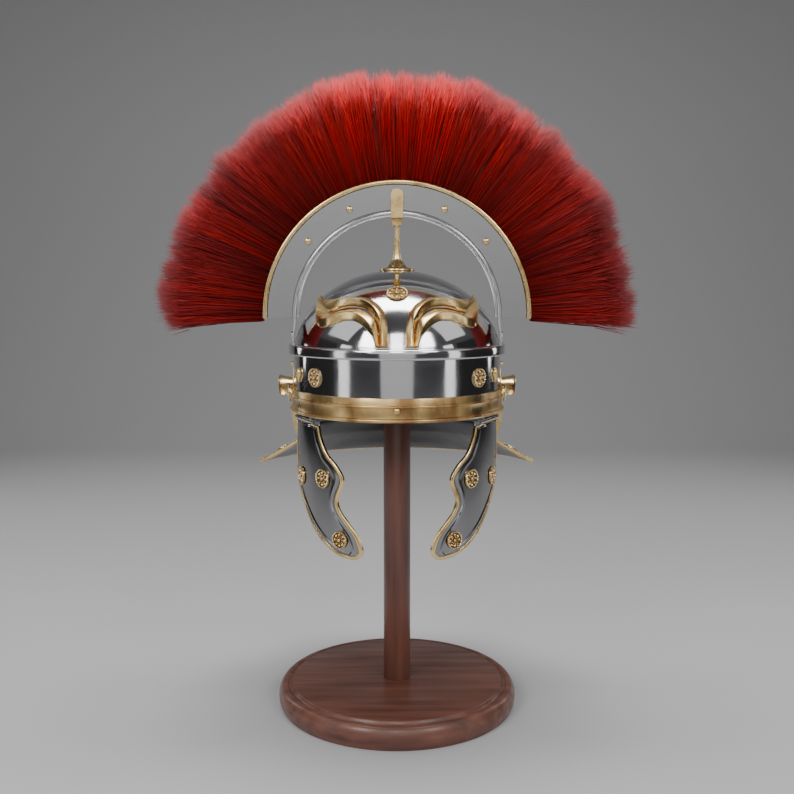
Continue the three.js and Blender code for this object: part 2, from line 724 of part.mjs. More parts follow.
// Distance from p to the nearest side of a closed outline.
function outlineDistance(p, points) {
  const side = new THREE.Line3();
  const nearest = new THREE.Vector3();
  const at = new THREE.Vector3(p.x, p.y, 0);
  const distances = points.map((a, i) => {
    const b = points[(i + 1) % points.length];
    side.set(new THREE.Vector3(a.x, a.y, 0), new THREE.Vector3(b.x, b.y, 0));
    return side.closestPointToPoint(at, true, nearest).distanceTo(at);
  });
  return Math.min(...distances);
}

// Moves a closed outline inwards by a distance, leaving out points that would cross in tight corners.
function inset(points, distance) {
  if (distance === 0) return points;
  const count = points.length;
  const moved = points.map((p, i) => {
    const arriving = p.clone().sub(points[(i + count - 1) % count]).normalize();
    const leaving = points[(i + 1) % count].clone().sub(p).normalize();
    const miter = distance / (1 + arriving.dot(leaving));
    return new THREE.Vector2(p.x - (arriving.y + leaving.y) * miter, p.y + (arriving.x + leaving.x) * miter);
  });
  return moved.filter((p) => outlineDistance(p, points) > Math.abs(distance) * 0.9);
}

const outline = cheekOutline()
  .getPoints(2)
  .filter((p, i, all) => p.distanceTo(all[(i + 1) % all.length]) > 2);
const outlineTurn = THREE.ShapeUtils.isClockWise(outline) ? -1 : 1;

function cheekPrism(distance) {
  const points = inset(outline, distance * outlineTurn);
  return slab(new THREE.Shape(points), 90).translate(0, 0, -60).applyMatrix4(hingeFrame);
}

// The oval cylinder's wall between two offsets, wider than the plate.
function cheekShell(inner, outer) {
  const low = HINGE_HEIGHT - 125;
  const section = [[inner, low], [outer, low], [outer, HINGE_HEIGHT], [inner, HINGE_HEIGHT]];
  return wallBar(section, -92, -8, 14, () => 1, cheekOval);
}

const cheekParents = [cheekLeft, cheekRight];
const thickShell = cheekShell(-CHEEK_SHEET - EDGE_PROUD, EDGE_PROUD);
const edging = cut(common(thickShell, cheekPrism(0)), cheekPrism(CHEEK_EDGE));
const plate = common(cheekShell(-CHEEK_SHEET, 0), cheekPrism(CHEEK_EDGE + GAP));
addPair("cheek_edging", edging, brass, cheekParents);
addPair("cheek_plate", plate, steel, cheekParents);

// Surface place on the cheek plate at [forward, below].
function cheekPlace(forward, below) {
  const target = hingeMiddle.clone().addScaledVector(hingeAxis, forward);
  let angle = -HINGE_ANGLE;
  for (let i = 0; i < 20; i++) {
    const p = ovalPoint(angle, 0, 0, ...cheekOval);
    angle += p.sub(target).dot(hingeAxis) > 0 ? -8 / 1.5 ** i : 8 / 1.5 ** i;
  }
  const point = ovalPoint(angle, 0, HINGE_HEIGHT + below, ...cheekOval);
  return { point, normal: ovalPoint(angle, 1, HINGE_HEIGHT + below, ...cheekOval).sub(point) };
}

const cheekRosettes = [
  ["cheek_rosette_front", 33, -49.5, 8.8],
  ["cheek_rosette_rear", -8, -53, 8.4],
  ["cheek_rosette_low", 52, -101.5, 8],
];
for (const [name, forward, below, radius] of cheekRosettes) {
  addPair(name, standOn(cheekPlace(forward, below), rosette(radius, 4), 1.3), brass, cheekParents);
}

// ---------- Hinges ----------

function knuckle(index) {
  const circle = new THREE.Shape().absarc(0, 0, KNUCKLE_RADIUS, 0, 2 * Math.PI, false);
  circle.holes.push(new THREE.Path().absarc(0, 0, PIN_RADIUS + GAP, 0, 2 * Math.PI, true));
  const start = (index - (KNUCKLE_COUNT - 1) / 2) * KNUCKLE_PITCH - KNUCKLE_LENGTH / 2;
  const barrel = slab(circle, KNUCKLE_LENGTH, { curveSegments: 8 });
  return barrel.rotateY(Math.PI / 2).translate(start, 0, 0);
}

// A lug beside or above a knuckle, from low [z, out] to high.
function lug(index, [y0, z0], [y1, z1]) {
  const middle = (index - (KNUCKLE_COUNT - 1) / 2) * KNUCKLE_PITCH;
  const block = new THREE.BoxGeometry(KNUCKLE_LENGTH, y1 - y0, z1 - z0);
  return block.translate(middle, (y0 + y1) / 2, (z0 + z1) / 2);
}

const LEAF_ANGLE = 12.4;
const leafArc = [-HINGE_ANGLE - LEAF_ANGLE, -HINGE_ANGLE + LEAF_ANGLE, 4];
const leafFace = -CHEEK_SHEET - EDGE_PROUD - GAP;
const cheekLeafSection = [[leafFace - 1, -24], [leafFace, -24], [leafFace, -2], [leafFace - 1, -2]];
const cheekLeaf = wallBar(
  cheekLeafSection.map(([out, z]) => [out, z + HINGE_HEIGHT]),
  ...leafArc,
  () => 1,
  cheekOval,
);
const innerWall = -BOWL_SHEET - 0.5;
const bowlLeafSection = [[innerWall - 1, 3.2], [innerWall, 3.2], [innerWall, 20], [innerWall - 1, 20]];
const bowlLeaf = wallBar(
  bowlLeafSection.map(([out, z]) => [out, z + HINGE_HEIGHT]),
  ...leafArc,
);

const cheekHinge = [cheekLeaf];
const bowlHinge = [bowlLeaf];
for (let i = 0; i < KNUCKLE_COUNT; i++) {
  const onCheek = i % 2 === 0;
  const piece = onCheek ? lug(i, [-2.6, -5.2], [0.5, -1.6]) : lug(i, [1.6, -2.2], [3.8, 1.8]);
  const hinge = onCheek ? cheekHinge : bowlHinge;
  hinge.push(knuckle(i).applyMatrix4(hingeFrame), piece.applyMatrix4(hingeFrame));
}
addPair("cheek_hinge", join(...cheekHinge), steel, cheekParents);
addPair("bowl_hinge", join(...bowlHinge), steel);

const pinLength = KNUCKLE_COUNT * KNUCKLE_PITCH + 1;
const pin = new THREE.CylinderGeometry(PIN_RADIUS, PIN_RADIUS, pinLength, 12).rotateZ(Math.PI / 2);
addPair("hinge_pin", pin.applyMatrix4(hingeFrame), steel);

export default helmet;
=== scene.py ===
# Roman legionary helmet with a crosswise red crest, on a turned wooden stand.
# Shapes are worked out in millimetres and laid into meshes in metres, +Z up, the face towards -Y.
import math
import bmesh
import bpy
import numpy as np
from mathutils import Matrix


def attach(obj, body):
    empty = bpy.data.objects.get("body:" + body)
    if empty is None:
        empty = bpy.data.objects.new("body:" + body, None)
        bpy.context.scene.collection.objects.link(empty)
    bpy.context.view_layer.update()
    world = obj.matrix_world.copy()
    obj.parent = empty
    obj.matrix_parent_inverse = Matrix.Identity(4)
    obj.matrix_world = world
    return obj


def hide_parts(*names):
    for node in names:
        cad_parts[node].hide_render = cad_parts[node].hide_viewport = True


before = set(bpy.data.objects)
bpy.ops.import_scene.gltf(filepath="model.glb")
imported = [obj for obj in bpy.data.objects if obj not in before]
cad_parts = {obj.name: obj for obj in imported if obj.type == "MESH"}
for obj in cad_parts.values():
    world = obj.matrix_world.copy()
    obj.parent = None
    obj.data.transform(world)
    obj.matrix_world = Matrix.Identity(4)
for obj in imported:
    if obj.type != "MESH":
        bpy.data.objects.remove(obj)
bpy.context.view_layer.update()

# ---------- Stand foot ----------
# A round foot turned from one piece of dark hardwood, stained and gloss lacquered: a rolled rim,
# a narrow groove, and a raised disc that the post is socketed into.
MM = 0.001
HELMET = "helmet_and_stand"
FOOT_HEIGHT = 22.6


def quads(rows, columns, round_rows, round_columns):
    """Corner numbers of a grid's faces: every point joins its neighbours in its row and in its column,
    and a round direction joins its last line to its first."""
    i, j = np.meshgrid(
        np.arange(rows if round_rows else rows - 1),
        np.arange(columns if round_columns else columns - 1),
        indexing="ij",
    )
    i, j = i.ravel(), j.ravel()
    below, beside = (i + 1) % rows, (j + 1) % columns
    corners = (i * columns + j, i * columns + beside, below * columns + beside, below * columns + j)
    return np.stack(corners, axis=1).tolist()


def turned(profile, steps=120):
    """A turned solid: each (radius, height) goes to radius times the cosine and the sine of the angle."""
    radius, height = np.array(profile, float).T
    angle = np.linspace(0, 2 * np.pi, steps, endpoint=False)[:, None]
    grid = np.stack([radius * np.cos(angle), radius * np.sin(angle), height + 0 * angle], axis=-1)
    return grid.reshape(-1, 3), quads(steps, len(radius), True, False)


def flowing(stops, count):
    """A smooth line through the stops: on each span the Catmull-Rom cubic of its four nearest stops."""
    p = np.array(stops, float)
    p = np.vstack([2 * p[0] - p[1], p, 2 * p[-1] - p[-2]])
    t = np.linspace(0, len(stops) - 1, count)
    k = np.minimum(t.astype(int), len(stops) - 2)
    u = (t - k)[:, None]
    a, b, c, d = p[k], p[k + 1], p[k + 2], p[k + 3]
    return 0.5 * (2 * b + (c - a) * u + (2 * a - 5 * b + 4 * c - d) * u**2 + (3 * b - a - 3 * c + d) * u**3)


def make_piece(name, parts, finish, slot, body=HELMET, stands_for=(), crease=38, bevel=0, mirror=False):
    """One mesh from several (points, faces) parts in millimetres, joined to a body of the frame.
    Mirror takes every x to minus x. Doubles are merged and faces turned outwards afterwards."""
    points, faces, start = [], [], 0
    for part_points, part_faces in parts:
        points.append(part_points)
        faces += [[corner + start for corner in face] for face in part_faces]
        start += len(part_points)
    places = np.concatenate(points) * MM
    if mirror:
        places = places * (-1, 1, 1)
    mesh = bpy.data.meshes.new(name)
    mesh.from_pydata(places.tolist(), [], faces)
    shape = bmesh.new()
    shape.from_mesh(mesh)
    bmesh.ops.remove_doubles(shape, verts=shape.verts, dist=2e-6)
    bmesh.ops.recalc_face_normals(shape, faces=shape.faces)
    shape.to_mesh(mesh)
    shape.free()
    mesh.shade_smooth()
    mesh.set_sharp_from_angle(angle=math.radians(crease))
    piece = bpy.data.objects.new(name, mesh)
    bpy.context.scene.collection.objects.link(piece)
    mesh.materials.append(finish)
    if bevel:
        edge = piece.modifiers.new("edge", "BEVEL")
        edge.width = bevel * MM
        edge.segments = 2
        edge.limit_method = "ANGLE"
        edge.angle_limit = math.radians(35)
    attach(piece, body)
    if stands_for:
        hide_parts(*stands_for)
    return piece


def new_finish(name, colour, metallic, roughness):
    """A material with its node tree and its plain shader."""
    material = bpy.data.materials.new(name)
    material.use_nodes = True
    shader = material.node_tree.nodes["Principled BSDF"]
    shader.inputs["Base Color"].default_value = (*colour, 1)
    shader.inputs["Metallic"].default_value = metallic
    shader.inputs["Roughness"].default_value = roughness
    return material, material.node_tree, shader


def cloud(tree, scale, detail=4, stretch=(1, 1, 1)):
    """Noise on Object coordinates, drawn out along an axis where its stretch is small."""
    place = tree.nodes.new("ShaderNodeTexCoord")
    spread = tree.nodes.new("ShaderNodeMapping")
    spread.inputs["Scale"].default_value = stretch
    noise = tree.nodes.new("ShaderNodeTexNoise")
    noise.inputs["Scale"].default_value = scale
    noise.inputs["Detail"].default_value = detail
    tree.links.new(place.outputs["Object"], spread.inputs["Vector"])
    tree.links.new(spread.outputs["Vector"], noise.inputs["Vector"])
    return noise.outputs["Fac"]


def shaded(tree, source, stops):
    """A colour ramp from (place, colour) stops."""
    ramp = tree.nodes.new("ShaderNodeValToRGB")
    elements = ramp.color_ramp.elements
    for k, (place, colour) in enumerate(stops):
        element = elements[k] if k < 2 else elements.new(place)
        element.position = place
        element.color = (*colour, 1)
    tree.links.new(source, ramp.inputs["Fac"])
    return ramp.outputs["Color"]


def graded(tree, source, low, high, socket, start=0.3, end=0.7):
    """Carries a source between start and end over to low and high on a shader socket."""
    span = tree.nodes.new("ShaderNodeMapRange")
    for key, number in (("From Min", start), ("From Max", end), ("To Min", low), ("To Max", high)):
        span.inputs[key].default_value = number
    tree.links.new(source, span.inputs["Value"])
    tree.links.new(span.outputs["Result"], socket)


def relief(tree, source, shader, depth, strength=1.0):
    """Bump from a source, its depth in millimetres."""
    bump = tree.nodes.new("ShaderNodeBump")
    bump.inputs["Strength"].default_value = strength
    bump.inputs["Distance"].default_value = depth * MM
    tree.links.new(source, bump.inputs["Height"])
    tree.links.new(bump.outputs["Normal"], shader.inputs["Normal"])


def stained_wood(name, stretch):
    """Lacquered dark hardwood: long streaks of grain under a clear coat, pores as fine bump."""
    material, tree, shader = new_finish(name, (0.06, 0.025, 0.016), 0, 0.3)
    grain = cloud(tree, 9, 9, stretch)
    tones = [(0.26, (0.085, 0.029, 0.018)), (0.76, (0.215, 0.083, 0.055)), (0.5, (0.155, 0.057, 0.038))]
    tree.links.new(shaded(tree, grain, tones), shader.inputs["Base Color"])
    graded(tree, grain, 0.5, 0.36, shader.inputs["Roughness"])
    relief(tree, cloud(tree, 40, 6, stretch), shader, 0.22, 0.45)
    shader.inputs["Coat Weight"].default_value = 0.3
    shader.inputs["Coat Roughness"].default_value = 0.2
    return material


foot_wood = stained_wood("stained wood foot", (1.0, 12, 12))
rim_stops = [(113.4, 0), (115.4, 5), (116, 10.3), (115.2, 15), (113.2, 18.8), (110.6, 20.8), (107.6, 21)]
rim = flowing(rim_stops, 28)
foot_profile = [(0, 0), *rim, (106.3, 19.6), (105.2, 19.2), (104.2, 19.5), (103.2, 20.6), (102.7, 21.6)]
foot_profile += [(102.2, 22.3), (101.4, FOOT_HEIGHT), (60, FOOT_HEIGHT), (0, FOOT_HEIGHT)]
make_piece("turned_foot", [turned(foot_profile, 160)], foot_wood, "dark_wood", stands_for=["stand_base"])

# ---------- Stand post ----------
# A 26 mm dowel of the same wood, glued upright into the foot. The bowl rests on its rounded top.
POST_RADIUS = 13
POST_TOP = 417.1
post_wood = stained_wood("stained wood post", (12, 12, 1.0))
crown = [(POST_RADIUS, POST_TOP - 3), (12.6, POST_TOP - 1.4), (11.4, POST_TOP - 0.3)]
crown += [(10, POST_TOP), (0, POST_TOP)]
post_profile = [(0, FOOT_HEIGHT + 0.05), (12.7, FOOT_HEIGHT + 0.05), (POST_RADIUS, FOOT_HEIGHT + 0.6), *crown]
make_piece("post", [turned(post_profile, 64)], post_wood, "dark_wood", stands_for=["stand_post"])

# ---------- Bowl, nape and neck guard ----------
# One shell of 2 mm steel, raised by hammer and polished to a mirror: an oval dome and wall, an arch cut
# out over each ear, three shallow ribs across the nape, and a neck guard that spreads out to a round edge.
HALF_WIDTH, FRONT, REAR = 98, 112, 116
RIM_HEIGHT = 290.8
DOME_BASE, DOME_RISE = 340, 81.5
MEAN_RADIUS = 105
NECK_RADIUS, NECK_EDGE = 147, 230
FLARE_START = 106
EAR_Y, EAR_HALF, EAR_RISE = 24, 18, 26
NAPE_STOPS = [(MEAN_RADIUS, RIM_HEIGHT), (105.4, 282), (106.4, 274), (109, 262), (113, 254), (119, 248.6)]
NAPE_STOPS += [(133, 239.3), (NECK_RADIUS, NECK_EDGE)]

mirror_steel, tree, shader = new_finish("polished steel", (0.66, 0.66, 0.67), 1, 0.1)
graded(tree, cloud(tree, 28, 6), 0.06, 0.16, shader.inputs["Roughness"])
relief(tree, cloud(tree, 15, 2), shader, 0.8, 0.5)


def spread_radius(r, direction):
    """Radius towards a plan direction (x, y): the profile's radius scaled to the oval of the bowl, and
    eased by a smoothstep to a true circle between the nape and the neck guard's edge."""
    x, y = direction
    length = np.where(y < 0, FRONT, REAR)
    oval = 1 / np.hypot(x / HALF_WIDTH, y / length)
    t = np.clip((r - FLARE_START) / (NECK_RADIUS - FLARE_START), 0, 1)
    ease = t * t * (3 - 2 * t)
    return r * (oval / MEAN_RADIUS * (1 - ease) + ease)


def bowl_points(r, z, turn):
    """Point at a profile radius and height, turn radians round from the face towards +X."""
    x, y = np.sin(turn), -np.cos(turn)
    reach = spread_radius(r, (x, y))
    return np.stack(np.broadcast_arrays(reach * x, reach * y, z), axis=-1)


def ear_turns(count):
    """Turns and edge heights along the arch over the right ear, evenly round its half ellipse."""
    phase = np.linspace(0, np.pi, count)
    y = EAR_Y - EAR_HALF * np.cos(phase)
    x = HALF_WIDTH * np.sqrt(1 - (y / REAR) ** 2)
    return np.arctan2(x, -y), RIM_HEIGHT + EAR_RISE * np.sin(phase)


ear_turn, ear_edge = ear_turns(29)
front_turn = np.linspace(-ear_turn[0], ear_turn[0], 97)[1:-1]
rear_turn = np.linspace(ear_turn[-1], 2 * np.pi - ear_turn[-1], 81)[1:-1]
turn = np.concatenate([front_turn, ear_turn, rear_turn, 2 * np.pi - ear_turn[::-1]])
front_edge, rear_edge = np.full(len(front_turn), RIM_HEIGHT), np.full(len(rear_turn), RIM_HEIGHT)
edge_z = np.concatenate([front_edge, ear_edge, rear_edge, ear_edge[::-1]])
lean = np.linspace(0, np.pi / 2, 41)[:, None]
dome_rows = bowl_points(MEAN_RADIUS * np.sin(lean), DOME_BASE + DOME_RISE * np.cos(lean), turn[None])
drop = np.linspace(0, 1, 17)[1:, None]
wall_rows = bowl_points(MEAN_RADIUS + 0 * drop, DOME_BASE + (edge_z - DOME_BASE) * drop, turn[None])
shell = np.concatenate([dome_rows, wall_rows])

nape = flowing(NAPE_STOPS, 57)
ribs = sum(np.exp(-(((nape[:, 1] - height) / 2.2) ** 2)) for height in (284, 276, 268))
half_sector = np.interp(-nape[:, 1], [-RIM_HEIGHT, -253, -NECK_EDGE], np.radians([65.3, 67.3, 67.06]))
share = np.linspace(-1, 1, 81)
nape_turn = np.pi + share[None] * half_sector[:, None]
fade = 1 - np.abs(share) ** 8
nape_rows = bowl_points(nape[:, :1] + 1.1 * ribs[:, None] * fade, nape[:, 1:] + 0 * share, nape_turn)
bowl_parts = [
    (shell.reshape(-1, 3), quads(len(shell), len(turn), False, True)),
    (nape_rows.reshape(-1, 3), quads(len(nape), len(share), False, False)),
]
bowl = make_piece("bowl_shell", bowl_parts, mirror_steel, "polished_steel", stands_for=["bowl"])
# Inside, the steel is coloured dark and left rough, never polished.
inner_steel, tree, shader = new_finish("unpolished inner steel", (0.11, 0.108, 0.11), 0.9, 0.34)
graded(tree, cloud(tree, 30, 6, (1, 3, 3)), 0.26, 0.44, shader.inputs["Roughness"])
relief(tree, cloud(tree, 70, 4), shader, 0.25, 0.5)
bowl.data.materials.append(inner_steel)
sheet = bowl.modifiers.new("sheet", "SOLIDIFY")
sheet.thickness = 2 * MM
sheet.offset = -1
sheet.use_even_offset = True
sheet.material_offset = 1

# ---------- Neck trim ----------
# Half-round brass strip folded over the neck guard's edge, up its front corners to the ear, with a flat
# tongue behind each ear. Brass here is a warm yellow with brown tarnish left in the hollows.
aged_brass, tree, shader = new_finish("aged brass", (0.78, 0.52, 0.23), 1, 0.24)
tarnish = cloud(tree, 55, 6)
tones = [(0.30, (0.42, 0.25, 0.10)), (0.66, (0.93, 0.71, 0.36)), (0.46, (0.84, 0.60, 0.27))]
tree.links.new(shaded(tree, tarnish, tones), shader.inputs["Base Color"])
graded(tree, tarnish, 0.34, 0.15, shader.inputs["Roughness"])
relief(tree, cloud(tree, 160, 3), shader, 0.06, 0.4)


def bar(grid, closed=False):
    """A solid from rows that are one closed section carried along a path, with a flat end on the first
    and on the last row unless the path closes on itself."""
    rows, columns = grid.shape[:2]
    faces = quads(rows, columns, closed, True)
    if not closed:
        faces += [list(range(columns)), list(range((rows - 1) * columns, rows * columns))]
    return grid.reshape(-1, 3), faces


def unit(vectors):
    """Each vector divided by its length."""
    return vectors / np.linalg.norm(vectors, axis=-1, keepdims=True)


def rod(path, radius, sides=12, closed=False):
    """A round bar along a path: cosine along the level side direction, sine along what is square to it."""
    path = np.array(path, float)
    ahead = np.roll(path, -1, 0) - np.roll(path, 1, 0) if closed else np.gradient(path, axis=0)
    ahead = unit(ahead)
    side = unit(np.cross(ahead, (0.03, 0.02, 1)))
    above = np.cross(side, ahead)
    angle = np.linspace(0, 2 * np.pi, sides, endpoint=False)
    ring = side[:, None] * np.cos(angle)[:, None] + above[:, None] * np.sin(angle)[:, None]
    return bar(path[:, None] + radius * ring, closed)


def nape_place(y, z):
    """Left-hand point of the nape surface at a depth and a height: the profile's radius at that height,
    with the plan direction found by closing in on the given y."""
    r = np.interp(-z, -nape[:, 1], nape[:, 0])
    reach = r
    for _ in range(12):
        x = -np.sqrt(np.maximum(1, reach**2 - y**2))
        reach = spread_radius(r, (x / np.hypot(x, y), y / np.hypot(x, y)))
    return np.array([-np.sqrt(reach**2 - y**2), y, z])


TRIM_REACH = NECK_RADIUS + 2.35
tip_turn = math.acos(56 / TRIM_REACH)
around = np.linspace(tip_turn, -tip_turn, 121)
rear_trim = np.stack([-TRIM_REACH * np.sin(around), TRIM_REACH * np.cos(around), 229 + 0 * around], axis=1)
side_stops = [(53, 237), (48.4, 244.4), (43.6, 253), (43, 262), (42.6, 276.8), (42.4, 289.8)]
side_path = [rear_trim[0]] + [nape_place(y, z) + (1, -2.85, 0) for y, z in side_stops]
side_trim = rod(flowing(side_path, 60), 2)
tongue_edge = [(-91, 289.3), (-106.5, 289.3), (-105.6, 280), (-103.6, 268), (-101, 259), (-96, 259)]
tongue = bar(np.array([[(x, y, z) for x, z in tongue_edge] for y in (38.8, 40.2)]))
flip = np.array((-1, 1, 1))
trim_parts = [rod(rear_trim, 2), side_trim, tongue]
trim_parts += [(side_trim[0] * flip, side_trim[1]), (tongue[0] * flip, tongue[1])]
make_piece("neck_edge_brass", trim_parts, aged_brass, "brass", stands_for=["neck_trim"])

# ---------- Rosettes ----------
# Round brass mounts struck in a die and riveted on: a rope edge, eight petals round a beaded ring, and
# a ball in the middle. The same pattern in several sizes on the dome, temples, ears and neck guard.
brass_painted_shade_highlight, tree, shader = new_finish("brass with painted shade and highlight", (0.84, 0.6, 0.27), 1, 0.28)
# Painted shade and painted highlight: where the relief curves inwards the brass is coloured dark brown, and
# where it curves outwards a bright pale gold, read from the mesh's pointiness.
hollow_shade_ridge_highlight = tree.nodes.new("ShaderNodeNewGeometry").outputs["Pointiness"]
tones = [(0.47, (0.07, 0.035, 0.014)), (0.535, (0.98, 0.76, 0.42)), (0.503, (0.50, 0.31, 0.12))]
tree.links.new(shaded(tree, hollow_shade_ridge_highlight, tones), shader.inputs["Base Color"])
graded(tree, hollow_shade_ridge_highlight, 0.55, 0.15, shader.inputs["Roughness"], 0.46, 0.51)


def rosette(radius, rise):
    """Height over a disc, in shares of the radius q: a thin plate; a rope edge as a half round with
    slanting ripples; petals as a sine across q times a cosine round the disc, each with a slit down
    its middle; a ring of beads; a ball."""
    rings, spokes = 34, 120
    q = np.concatenate([np.linspace(0, 0.985, rings - 2), [1.0, 1.0]])[:, None]
    a = np.linspace(0, 2 * np.pi, spokes, endpoint=False)[None]
    height = 0.16 + 0 * (q + a)
    rope = np.sqrt(np.clip(1 - ((q - 0.9) / 0.085) ** 2, 0, 1))
    height = height + rope * (0.42 + 0.16 * np.cos(20 * a + 16 * q))
    across = np.sin(np.pi * np.clip((q - 0.44) / 0.36, 0, 1))
    petal = across * (np.clip(np.cos(8 * a), -0.2, 1) + 0.2) ** 0.6
    petal = petal - 0.4 * across * np.exp(-((np.sin(4 * a) / 0.14) ** 2))
    height = height + 0.5 * petal
    bead = np.exp(-(((q - 0.36) / 0.05) ** 2)) * np.clip(0.3 + np.cos(10 * a), 0, 1)
    height = height + 0.36 * bead
    height = height + 0.84 * np.sqrt(np.clip(1 - (q / 0.22) ** 2, 0, 1))
    height = height * rise
    height[-1] = 0
    height[0] = height[0].mean()
    grid = np.stack([radius * q * np.cos(a), radius * q * np.sin(a), height], axis=-1)
    points, faces = grid.reshape(-1, 3), quads(rings, spokes, False, True)
    return points, faces + [list(range((rings - 1) * spokes, rings * spokes))]


def stood(part, point, normal, lift):
    """A part turned so that its Z lies along a surface's normal and its Y as near upright as it can, its
    foot lifted off the surface."""
    normal = unit(np.array(normal, float))
    sideways = np.cross((0, 0, 1), normal)
    sideways = unit(sideways) if np.linalg.norm(sideways) > 1e-6 else np.array((1.0, 0, 0))
    upwards = np.cross(normal, sideways)
    points, faces = part
    place = np.array(point) + lift * normal
    return place + points @ np.stack([sideways, upwards, normal]), faces


def wall_place(degrees, out, z, half=HALF_WIDTH, front=FRONT, rear=REAR):
    """Point on the oval wall a few millimetres out of it: the oval's sine and cosine point plus the
    outward direction square to the oval."""
    s, c = np.sin(np.radians(degrees)), np.cos(np.radians(degrees))
    length = np.where(c >= 0, front, rear)
    nx, ny = s / half, -c / length
    size = np.hypot(nx, ny)
    x, y, z = np.broadcast_arrays(half * s + out * nx / size, -length * c + out * ny / size, z)
    return np.stack([x, y, z], axis=-1)


def wall_normal(degrees):
    """Outward direction of the wall."""
    return wall_place(degrees, 1, 0) - wall_place(degrees, 0, 0)


def on_dome(places):
    """Nearest point of the dome towards each place from the dome's centre, and the outward direction."""
    q = np.array(places, float) - (0, 0, DOME_BASE)
    y = q[..., 1]
    axes = np.stack([0 * y + HALF_WIDTH, np.where(y < 0, FRONT, REAR), 0 * y + DOME_RISE], axis=-1)
    q = q / np.linalg.norm(q / axes, axis=-1, keepdims=True)
    return q + (0, 0, DOME_BASE), unit(q / axes**2)


def dome_front(stops):
    """Points of the dome's front at the given (x, z), from the ellipsoid's equation."""
    x, z = np.array(stops, float).T
    inside = 1 - (x / HALF_WIDTH) ** 2 - ((z - DOME_BASE) / DOME_RISE) ** 2
    return np.stack([x, -FRONT * np.sqrt(np.maximum(0, inside)), z], axis=1)


def mount_pair(name, part, left_body=HELMET, right_body=HELMET, finish=aged_brass, slot="brass", **more):
    """The left piece and its mirror image, each standing for the CAD node of its side."""
    for side, body in (("left", left_body), ("right", right_body)):
        node = f"{name}_{side}"
        make_piece(f"{node}_mount", part, finish, slot, body, [node], mirror=side == "right", **more)


crown_point, crown_normal = on_dome(dome_front([(0, 399.4)]))
dome_mount = stood(rosette(9.6, 3.2), crown_point[0], crown_normal[0], 0.1)
make_piece("dome_rosette_mount", [dome_mount], brass_painted_shade_highlight, "brass", stands_for=["dome_rosette"])
temple = stood(rosette(8.6, 2.8), wall_place(-47.3, 0, 326), wall_normal(-47.3), 0.1)
mount_pair("temple_rosette", [temple], finish=brass_painted_shade_highlight)
ear_mount = stood(rosette(8.4, 3.4), wall_place(-81, 0, 307), wall_normal(-81), 3.2)
mount_pair("ear_rosette", [ear_mount], finish=brass_painted_shade_highlight)
neck_mount = stood(rosette(7.4, 2.8), nape_place(57, 240.6), (-0.5, 0.24, 0.83), 0.6)
mount_pair("neck_rosette", [neck_mount], finish=brass_painted_shade_highlight)

# ---------- Side bosses and ear blades ----------
# A small tear-shaped brass boss behind each temple rosette, and an upright pointed brass plaque before
# each ear with a ball on its tip. Both are cast, filed and riveted.


def tear(low, high, half_width, crown_height, sheet, fullest):
    """Leaf along its height: its half width is a sine with its peak moved to the fullest place, and its
    section a flat back with a sine-shaped crown."""
    v = np.linspace(0, 1, 41)[:, None]
    width = half_width * np.sin(np.pi * v ** (math.log(0.5) / math.log(fullest))) ** 0.8 + 0.05
    u = np.concatenate([np.linspace(-1, 1, 17), [1, -1]])[None]
    out = sheet + crown_height * (width / half_width) * np.cos(np.pi / 2 * np.clip(u, -1, 1)) ** 0.8
    out = np.where(np.arange(19)[None] > 16, 0, out)
    grid = np.stack(np.broadcast_arrays(width * u, low + (high - low) * v, out), axis=-1)
    return bar(grid)


boss = stood(tear(-7.2, 6.4, 3.6, 2.6, 1.2, 0.62), wall_place(-63.9, 0, 327), wall_normal(-63.9), 0.4)
mount_pair("side_boss", [boss])
ball = turned([(2.0 * math.sin(t), -2.0 * math.cos(t)) for t in np.linspace(0, math.pi, 13)], 24)
blade = tear(-20.5, 20.5, 4.2, 1.0, 0.6, 0.55)
blade_ball = (ball[0] + (0, 19.6, 1.4), ball[1])
blade_place = wall_place(-90, 0, 313.5)
blade_parts = [stood(part, blade_place, (-1, 0, 0), 0.35) for part in (blade, blade_ball)]
mount_pair("ear_blade", blade_parts)

# ---------- Brow band ----------
# Brass strip riveted round the face edge: rolled lower rim, a raised bead along it, and one rivet
# at the middle. Brown tarnish runs down it in broad patches.
BEAD_HEIGHT = 304.2
BAND_ANGLE = 86
band_brass, tree, shader = new_finish("tarnished band brass", (0.7, 0.46, 0.2), 1, 0.3)
patches = cloud(tree, 20, 5, (1.6, 1.6, 0.7))
tones = [(0.34, (0.30, 0.17, 0.07)), (0.66, (0.90, 0.68, 0.34)), (0.5, (0.72, 0.49, 0.21))]
tree.links.new(shaded(tree, patches, tones), shader.inputs["Base Color"])
graded(tree, patches, 0.46, 0.22, shader.inputs["Roughness"])
relief(tree, cloud(tree, 140, 4), shader, 0.1, 0.5)


def half_round(centre, radius, start, stop, count=9):
    """Points of an arc: centre plus radius times the cosine and the sine of the angle."""
    angle = np.radians(np.linspace(start, stop, count))
    return [(centre[0] + radius * math.cos(a), centre[1] + radius * math.sin(a)) for a in angle]


def rivet_head(radius, foot, rise):
    """Profile of a domed rivet: a short upright foot, then a quarter ellipse of cosine and sine."""
    dome = [(radius * math.cos(t), foot + rise * math.sin(t)) for t in np.linspace(0.1, math.pi / 2, 8)]
    return [(0, 0), (radius, 0), (radius, foot), *dome]


def along_wall(section, start, stop, steps, reach=lambda degrees: 1, **oval):
    """A section of (out, height) points carried round the oval wall, its reach scaled along the way."""
    degrees = np.linspace(start, stop, steps)[:, None]
    out, height = np.array(section, float).T
    return bar(wall_place(degrees, out[None] * reach(degrees), height[None], **oval))


